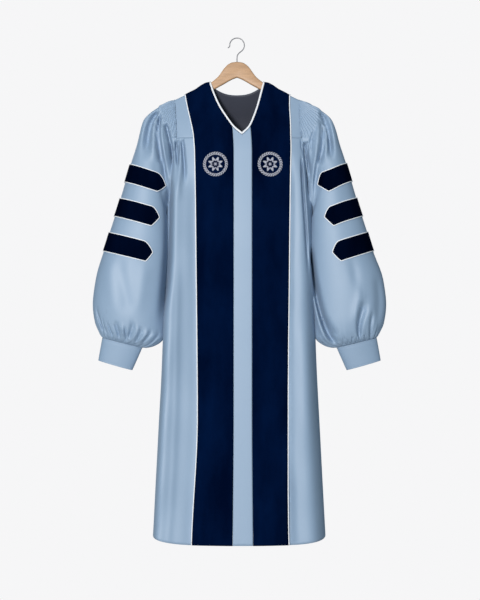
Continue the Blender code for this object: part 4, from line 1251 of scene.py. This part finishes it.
class GOWN_OT_fronts(bpy.types.Operator):
    """Make the two fronts, their yokes and the strip between the velvet panels"""

    bl_idname = "gown.fronts"
    bl_label = "Fronts"

    def execute(self, context):
        columns = np.concatenate((even(10), even(64, 1.0, 2.0)[1:]))
        rows = rows_below_yoke(170, 1.15)
        for side_name, side in SIDES:
            front = front_surface(side)

            def lower(place, z, lift):
                return front(place, z + hem_rise(place - 1) * fall(z), lift)

            def yoke(place, share, lift):
                return front(place, yoke_height(share, front_top(side, place)), lift)

            gown_piece(f"front_{side_name}_cloth", lower, columns, rows, f"front_{side_name}")
            gown_piece(f"front_yoke_{side_name}_cloth", yoke, columns, even(36), f"front_yoke_{side_name}")

        def strip(place, share, lift):
            width = np.abs(place) * FRONT_EDGES[-1].placket
            low, high = 0 * width + NECKLINE[0].z, 0 * width + NECKLINE[2].z
            for _ in range(HALVINGS):
                middle = (low + high) / 2
                under = read(NECKLINE, "half", middle) < width
                low, high = np.where(under, middle, low), np.where(under, high, middle)
            z = mix(low - LAYER_GAP, HEM_Z, share**STRIP_POWER)
            return front_point(place * read(FRONT_EDGES, "placket", z) + skew(z), z, lift)

        gown_piece("centre_strip", strip, even(16, -1, 1), even(170), "front_placket")
        return {"FINISHED"}


class GOWN_OT_back(bpy.types.Operator):
    """Make the back, its yoke and the lining that shows in the neck"""

    bl_idname = "gown.back"
    bl_label = "Back"

    def execute(self, context):
        def lower(place, z, lift):
            return back_surface(place, z + hem_rise(np.abs(place) * 3 - 2) * fall(z), lift)

        def yoke(place, share, lift):
            return back_surface(place, yoke_height(share, back_top(place)), lift)

        def lining(place, share, lift):
            return back_surface(place, mix(back_top(place), LINING_LOW_Z, share), lift)

        gown_piece("back_cloth", lower, even(180, -1, 1), rows_below_yoke(130, 1.2), "back_panel")
        z = float(ridge_z(NECK_POINT_X))
        neck = float(angle_of(NECK_POINT_X, z) / side_angle(np.array(z)))
        middle = neck * np.sin(even(44, -math.pi / 2, math.pi / 2))
        columns = np.concatenate((even(16, -1, -neck)[:-1], middle, even(16, neck, 1)[1:]))
        gown_piece("back_yoke_cloth", yoke, columns, even(36), "back_yoke")
        cloth("neck_lining", lining, middle[2:-2], even(24), -LAYER_GAP, LINING, finish_of("neck lining"),
              "back_neck_lining")
        return {"FINISHED"}


class GOWN_OT_velvets(bpy.types.Operator):
    """Make the velvet panels with the piping on their outer edges"""

    bl_idname = "gown.velvets"
    bl_label = "Velvet panels"

    def execute(self, context):
        lay = CLOTH + LAYER_GAP
        for side_name, side in SIDES:
            front = front_surface(side)

            def panel(place, share, lift):
                z = panel_height(share, front_top(side, place))
                edge = np.minimum(np.minimum(place, 1 - place) * 0.1, 1.0)
                ripple = 0.0005 * wander(z * 34 + place * 2, side + 2)
                ripple = ripple + 0.0004 * wander(z * 70 - place * 5, 3)
                return front(place, z, lift + ripple * ease(edge / 0.02))

            cloth(f"velvet_front_{side_name}", panel, even(26), even(240), lay + VELVET, VELVET,
                  finish_of("navy velvet"), f"velvet_panel_{side_name}")
            edge = np.ones(241)
            z = panel_height(even(240), front_top(side, edge))
            path = front(edge, z, 0 * z + lay + PIPING_RADIUS)
            path[:, 0] += side * (PIPING_RADIUS - PIPING_TUCK)
            path[-1, 2] = HEM_Z + LAYER_GAP
            tube(f"panel_piping_{side_name}", path, PIPING_RADIUS, finish_of("white piping"),
                 f"velvet_piping_{side_name}")
        return {"FINISHED"}


class GOWN_OT_neck_binding(bpy.types.Operator):
    """Make the white binding round the V of the neck"""

    bl_idname = "gown.neck_binding"
    bl_label = "Neck binding"

    def execute(self, context):
        stack = CLOTH + LAYER_GAP + VELVET
        rings = []
        for side in (-1, 1):
            z = mix(RIDGE[1].z - LAYER_GAP, NECKLINE[0].z + 2 * LAYER_GAP, even(46))
            half = read(NECKLINE, "half", z)
            rise = 0.0015
            slope = side * (read(NECKLINE, "half", z + rise) - read(NECKLINE, "half", z - rise))
            inward = unit(points(-2 * rise * side, 0 * z, slope * side))
            base = front_point(side * half + skew(z), z, 0 * z)
            outward = front_point(side * half + skew(z), z, 0 * z + 1) - base
            section = []
            for reach, lift in BINDING_SECTION:
                spot = base + inward * (LAYER_GAP + BINDING_WIDTH * reach)
                surface = front_point(spot[:, 0] - sway(spot[:, 2]), spot[:, 2], 0 * z)
                spot[:, 1] = surface[:, 1]
                spot = spot + outward * (stack * lift)
                spot[:, 1] = np.minimum(spot[:, 1], -WOOD_THICKNESS / 2 - LAYER_GAP * (1 + lift))
                section.append(spot)
            rings.append(np.stack(section, axis=1))
        foot = (rings[0][-1] + rings[1][-1]) / 2
        foot[:, 2] -= np.linspace(BINDING_POINT, 0.0, len(foot))
        path = [*rings[0], foot, *rings[1][::-1]]
        bm = bmesh.new()
        loops = [[bm.verts.new(spot) for spot in ring] for ring in path]
        for first, second in zip(loops, loops[1:]):
            for i in range(len(first)):
                j = (i + 1) % len(first)
                bm.faces.new((first[i], first[j], second[j], second[i]))
        for loop in (loops[0], loops[-1]):
            bm.faces.new(loop)
        bmesh.ops.recalc_face_normals(bm, faces=bm.faces[:])
        finish_piece("neck_edge", bm, finish_of("white piping"), "neck_binding")
        return {"FINISHED"}


class GOWN_OT_sleeves(bpy.types.Operator):
    """Make the fluted bishop sleeves and their cuffs"""

    bl_idname = "gown.sleeves"
    bl_label = "Sleeves"

    def execute(self, context):
        turns = (even(54, 180, 95)[:-1], even(250, 95, -95), even(54, -95, -180)[1:])
        turns = np.radians(np.concatenate(turns))
        rows = (even(40, 0, 1.5), even(32, 1.5, 5.0)[1:], even(22, 5.0, 9.0)[1:], even(28, 9.0, 11.0)[1:])
        stations = np.concatenate(rows)
        for side_name, side in SIDES:
            sleeve = sleeve_surface(side, context.scene.gown)
            gown_piece(f"sleeve_{side_name}_cloth", sleeve, turns, stations, f"sleeve_{side_name}",
                       closed=True)
            straight = cuff_surface(side)

            def cuff(turn, s, lift):
                seams = bump(s - 0.94, 0.02) + bump(s - 0.08, 0.02)
                return straight(turn, s, lift - CUFF_SEAM_DEPTH * seams)

            gown_piece(f"cuff_{side_name}_cloth", cuff, even(96, math.pi, -math.pi), even(40),
                       f"cuff_{side_name}", CUFF_CLOTH, closed=True)
        return {"FINISHED"}


def bar_heights(bar, x):
    """Heights of the bar's top and bottom edges at these half widths."""

    def line(a, b):
        return mix(a[1], b[1], (x - a[0]) / (b[0] - a[0]))

    share = np.clip((bar.bend_top[0] - x) / (bar.bend_top[0] - bar.tip[0]), 0, 1)
    curve = mix(bar.bend_top[1], bar.tip[1] + BAR_BLUNTNESS, share**2.2 * 0.8 + share * 0.2)
    top = np.where(x >= bar.bend_top[0], line(bar.outer_top, bar.bend_top), curve)
    share = np.clip((bar.bend_low[0] - x) / (bar.bend_low[0] - bar.tip[0]), 0, 1)
    curve = mix(bar.bend_low[1], bar.tip[1] - BAR_BLUNTNESS, share**1.2)
    low = np.where(x >= bar.bend_low[0], line(bar.outer_low, bar.bend_low), curve)
    return top, low


def stations_where(turn, below):
    """For each turn, the station at which below(points) first holds."""
    low, high = BAR_FIRST_S + 0 * turn, BAR_LAST_S + 0 * turn
    for _ in range(HALVINGS):
        middle = (low + high) / 2
        under = below(sleeve_base(turn, middle))
        low, high = np.where(under, low, middle), np.where(under, middle, high)
    return low


class GOWN_OT_bars(bpy.types.Operator):
    """Make the piped velvet bars across the sleeves"""

    bl_idname = "gown.bars"
    bl_label = "Sleeve bars"

    def execute(self, context):
        lay = CLOTH + BAR_GAP
        for side_name, side in SIDES:
            surface = sleeve_surface(side, context.scene.gown)
            for number, bar in enumerate([bar for bar in BARS if bar.side == side], start=1):
                turns = np.radians(even(600, 40, 170))
                tips = stations_where(turns, lambda p: p[..., 2] < bar.tip[1])
                reach = turns[np.argmax(sleeve_base(turns, tips)[..., 0] < bar.tip[0])]
                spread = reach * np.sin(even(150, -math.pi / 2, math.pi / 2))
                first = stations_where(spread, lambda p: p[..., 2] < bar_heights(bar, p[..., 0])[0])
                last = stations_where(spread, lambda p: p[..., 2] < bar_heights(bar, p[..., 0])[1])
                name = f"{side_name}_{number}"

                def patch(index, share, lift):
                    i = np.round(index).astype(int)
                    return surface(spread[i], mix(first[i], last[i], share), lift)

                cloth(f"sleeve_bar_{name}", patch, np.arange(len(spread)), even(18), lay + VELVET, VELVET,
                      finish_of("bar velvet"), f"velvet_bar_{name}")
                ring_turns = np.concatenate((spread, spread[::-1][1:-1]))
                ring_s = np.concatenate((first, last[::-1][1:-1]))
                path = surface(ring_turns, ring_s, 0 * ring_s + lay + BAR_PIPING_RADIUS)
                above = surface(ring_turns, ring_s, 0 * ring_s + lay + BAR_PIPING_RADIUS + 0.001)
                along = np.roll(path, -1, axis=0) - np.roll(path, 1, axis=0)
                out = unit(np.cross(unit(along), unit(above - path))) * side
                path = path + out * (BAR_PIPING_RADIUS - BAR_PIPING_TUCK)
                tube(f"bar_edge_{name}", path, BAR_PIPING_RADIUS, finish_of("white piping"),
                     f"bar_piping_{name}", closed=True, resolution=2)
        return {"FINISHED"}


class GOWN_OT_ornaments(bpy.types.Operator):
    """Embroider the round flower on each velvet panel"""

    bl_idname = "gown.ornaments"
    bl_label = "Ornaments"

    @staticmethod
    def stitch(bm, length, width, centre, turn):
        """One raised, pointed stitch."""
        made = bmesh.ops.create_grid(bm, x_segments=8, y_segments=4, size=0.5)["verts"]
        for vert in made:
            u, v = vert.co.x * 2, vert.co.y * 2
            body = max(1 - u * u, 0.0) ** 0.6
            x, y = u * length / 2, v * width / 2 * body
            vert.co = (
                centre[0] + x * math.cos(turn) - y * math.sin(turn),
                centre[1] + x * math.sin(turn) + y * math.cos(turn),
                THREAD_LIFT * (1 - v * v) * body**0.5,
            )

    def execute(self, context):
        lay = CLOTH + LAYER_GAP + VELVET
        for side_name, side in SIDES:
            bm = bmesh.new()
            for ring in STITCH_RINGS:
                for k in range(ring.count):
                    turn = 2 * math.pi * (k + ring.first) / ring.count
                    aim = turn + ring.turned
                    centre = (ring.radius * math.cos(aim), ring.radius * math.sin(aim))
                    self.stitch(bm, ring.length, ring.width, centre, turn + ring.lean)
            flat = np.array([vert.co for vert in bm.verts])
            x = side * ORNAMENT_HALF + flat[:, 0] + SKEW
            z = ORNAMENT_Z + flat[:, 1]
            placed = front_point(x, z, lay + SEAM_GAP + flat[:, 2])
            for vert, spot in zip(bm.verts, placed):
                vert.co = spot
            bmesh.ops.remove_doubles(bm, verts=bm.verts[:], dist=WELD)
            bm.normal_update()
            wrong = [face for face in bm.faces if face.normal.y > 0]
            bmesh.ops.reverse_faces(bm, faces=wrong)
            pale = finish_of("embroidery thread")
            add_wall(finish_piece(f"ornament_{side_name}", bm, pale, None), THREAD_WALL)
        return {"FINISHED"}


class GOWN_OT_stage(bpy.types.Operator):
    """Set the floor, the studio light and the camera"""

    bl_idname = "gown.stage"
    bl_label = "Stage"

    def execute(self, context):
        scene = context.scene
        bm = bmesh.new()
        bmesh.ops.create_circle(bm, cap_ends=True, segments=96, radius=FLOOR_RADIUS)
        bmesh.ops.translate(bm, vec=(0, 0, HEM_Z - FLOOR_DROP), verts=bm.verts[:])
        mesh = bpy.data.meshes.new("floor")
        bm.to_mesh(mesh)
        bm.free()
        nodes = Nodes("pale floor")
        grain = nodes.noise(nodes.coordinates(uv=False), 40.0)
        nodes.into("Base Color", nodes.blend(grain, (0.78, 0.78, 0.78), (0.82, 0.82, 0.82)))
        nodes.constant(Roughness=0.8)
        mesh.materials.append(nodes.material)
        floor = bpy.data.objects.new("floor", mesh)
        scene.collection.objects.link(floor)

        world = bpy.data.worlds.new("studio")
        world.use_nodes = True
        tree = world.node_tree
        around = tree.nodes["Background"]
        around.inputs["Color"].default_value = (*SKY_COLOUR, 1)
        around.inputs["Strength"].default_value = SKY_STRENGTH
        backdrop = tree.nodes.new("ShaderNodeBackground")
        backdrop.inputs["Color"].default_value = (*BACKDROP_COLOUR, 1)
        ray = tree.nodes.new("ShaderNodeLightPath")
        choose = tree.nodes.new("ShaderNodeMixShader")
        tree.links.new(ray.outputs["Is Camera Ray"], choose.inputs[0])
        tree.links.new(around.outputs[0], choose.inputs[1])
        tree.links.new(backdrop.outputs[0], choose.inputs[2])
        tree.links.new(choose.outputs[0], tree.nodes["World Output"].inputs["Surface"])
        scene.world = world

        for lamp in LAMPS:
            data = bpy.data.lights.new(lamp.name, "AREA")
            data.shape = "RECTANGLE"
            data.size, data.size_y = lamp.width, lamp.height
            data.energy = lamp.power
            data.color = LIGHT_COLOUR
            light = bpy.data.objects.new(lamp.name, data)
            light.location = lamp.place
            aim = Vector(lamp.aim) - Vector(lamp.place)
            light.rotation_euler = aim.to_track_quat("-Z", "Y").to_euler()
            scene.collection.objects.link(light)

        data = bpy.data.cameras.new("camera")
        data.sensor_fit = "VERTICAL"
        data.sensor_height = SENSOR_HEIGHT
        data.lens = SENSOR_HEIGHT * CAMERA_DISTANCE / VIEW_HEIGHT
        camera = bpy.data.objects.new("camera", data)
        camera.location = (CAMERA_X, -CAMERA_DISTANCE, CAMERA_Z)
        camera.rotation_euler = (math.pi / 2, 0, 0)
        scene.collection.objects.link(camera)
        scene.camera = camera
        scene.view_settings.view_transform = "Standard"
        return {"FINISHED"}


class GOWN_PT_panel(bpy.types.Panel):
    """The gown's sizes, colours and pieces"""

    bl_idname = "GOWN_PT_panel"
    bl_label = "Graduation gown"
    bl_space_type = "VIEW_3D"
    bl_region_type = "UI"
    bl_category = "Gown"

    def draw(self, context):
        settings = context.scene.gown
        for name in GownSettings.__annotations__:
            self.layout.prop(settings, name)
        for operator in PIECES:
            self.layout.operator(operator.bl_idname)


PIECES = (
    GOWN_OT_stage,
    GOWN_OT_hanger,
    GOWN_OT_fronts,
    GOWN_OT_back,
    GOWN_OT_velvets,
    GOWN_OT_neck_binding,
    GOWN_OT_sleeves,
    GOWN_OT_bars,
    GOWN_OT_ornaments,
)
CLASSES = (GownSettings, *PIECES, GOWN_PT_panel)


def register():
    for made in CLASSES:
        bpy.utils.register_class(made)
    bpy.types.Scene.gown = PointerProperty(type=GownSettings)


def unregister():
    del bpy.types.Scene.gown
    for made in reversed(CLASSES):
        bpy.utils.unregister_class(made)


def main():
    register()
    bpy.ops.gown.stage()
    bpy.ops.gown.hanger()
    bpy.ops.gown.fronts()
    bpy.ops.gown.back()
    bpy.ops.gown.velvets()
    bpy.ops.gown.neck_binding()
    bpy.ops.gown.sleeves()
    bpy.ops.gown.bars()
    bpy.ops.gown.ornaments()


if __name__ == "__main__":
    main()
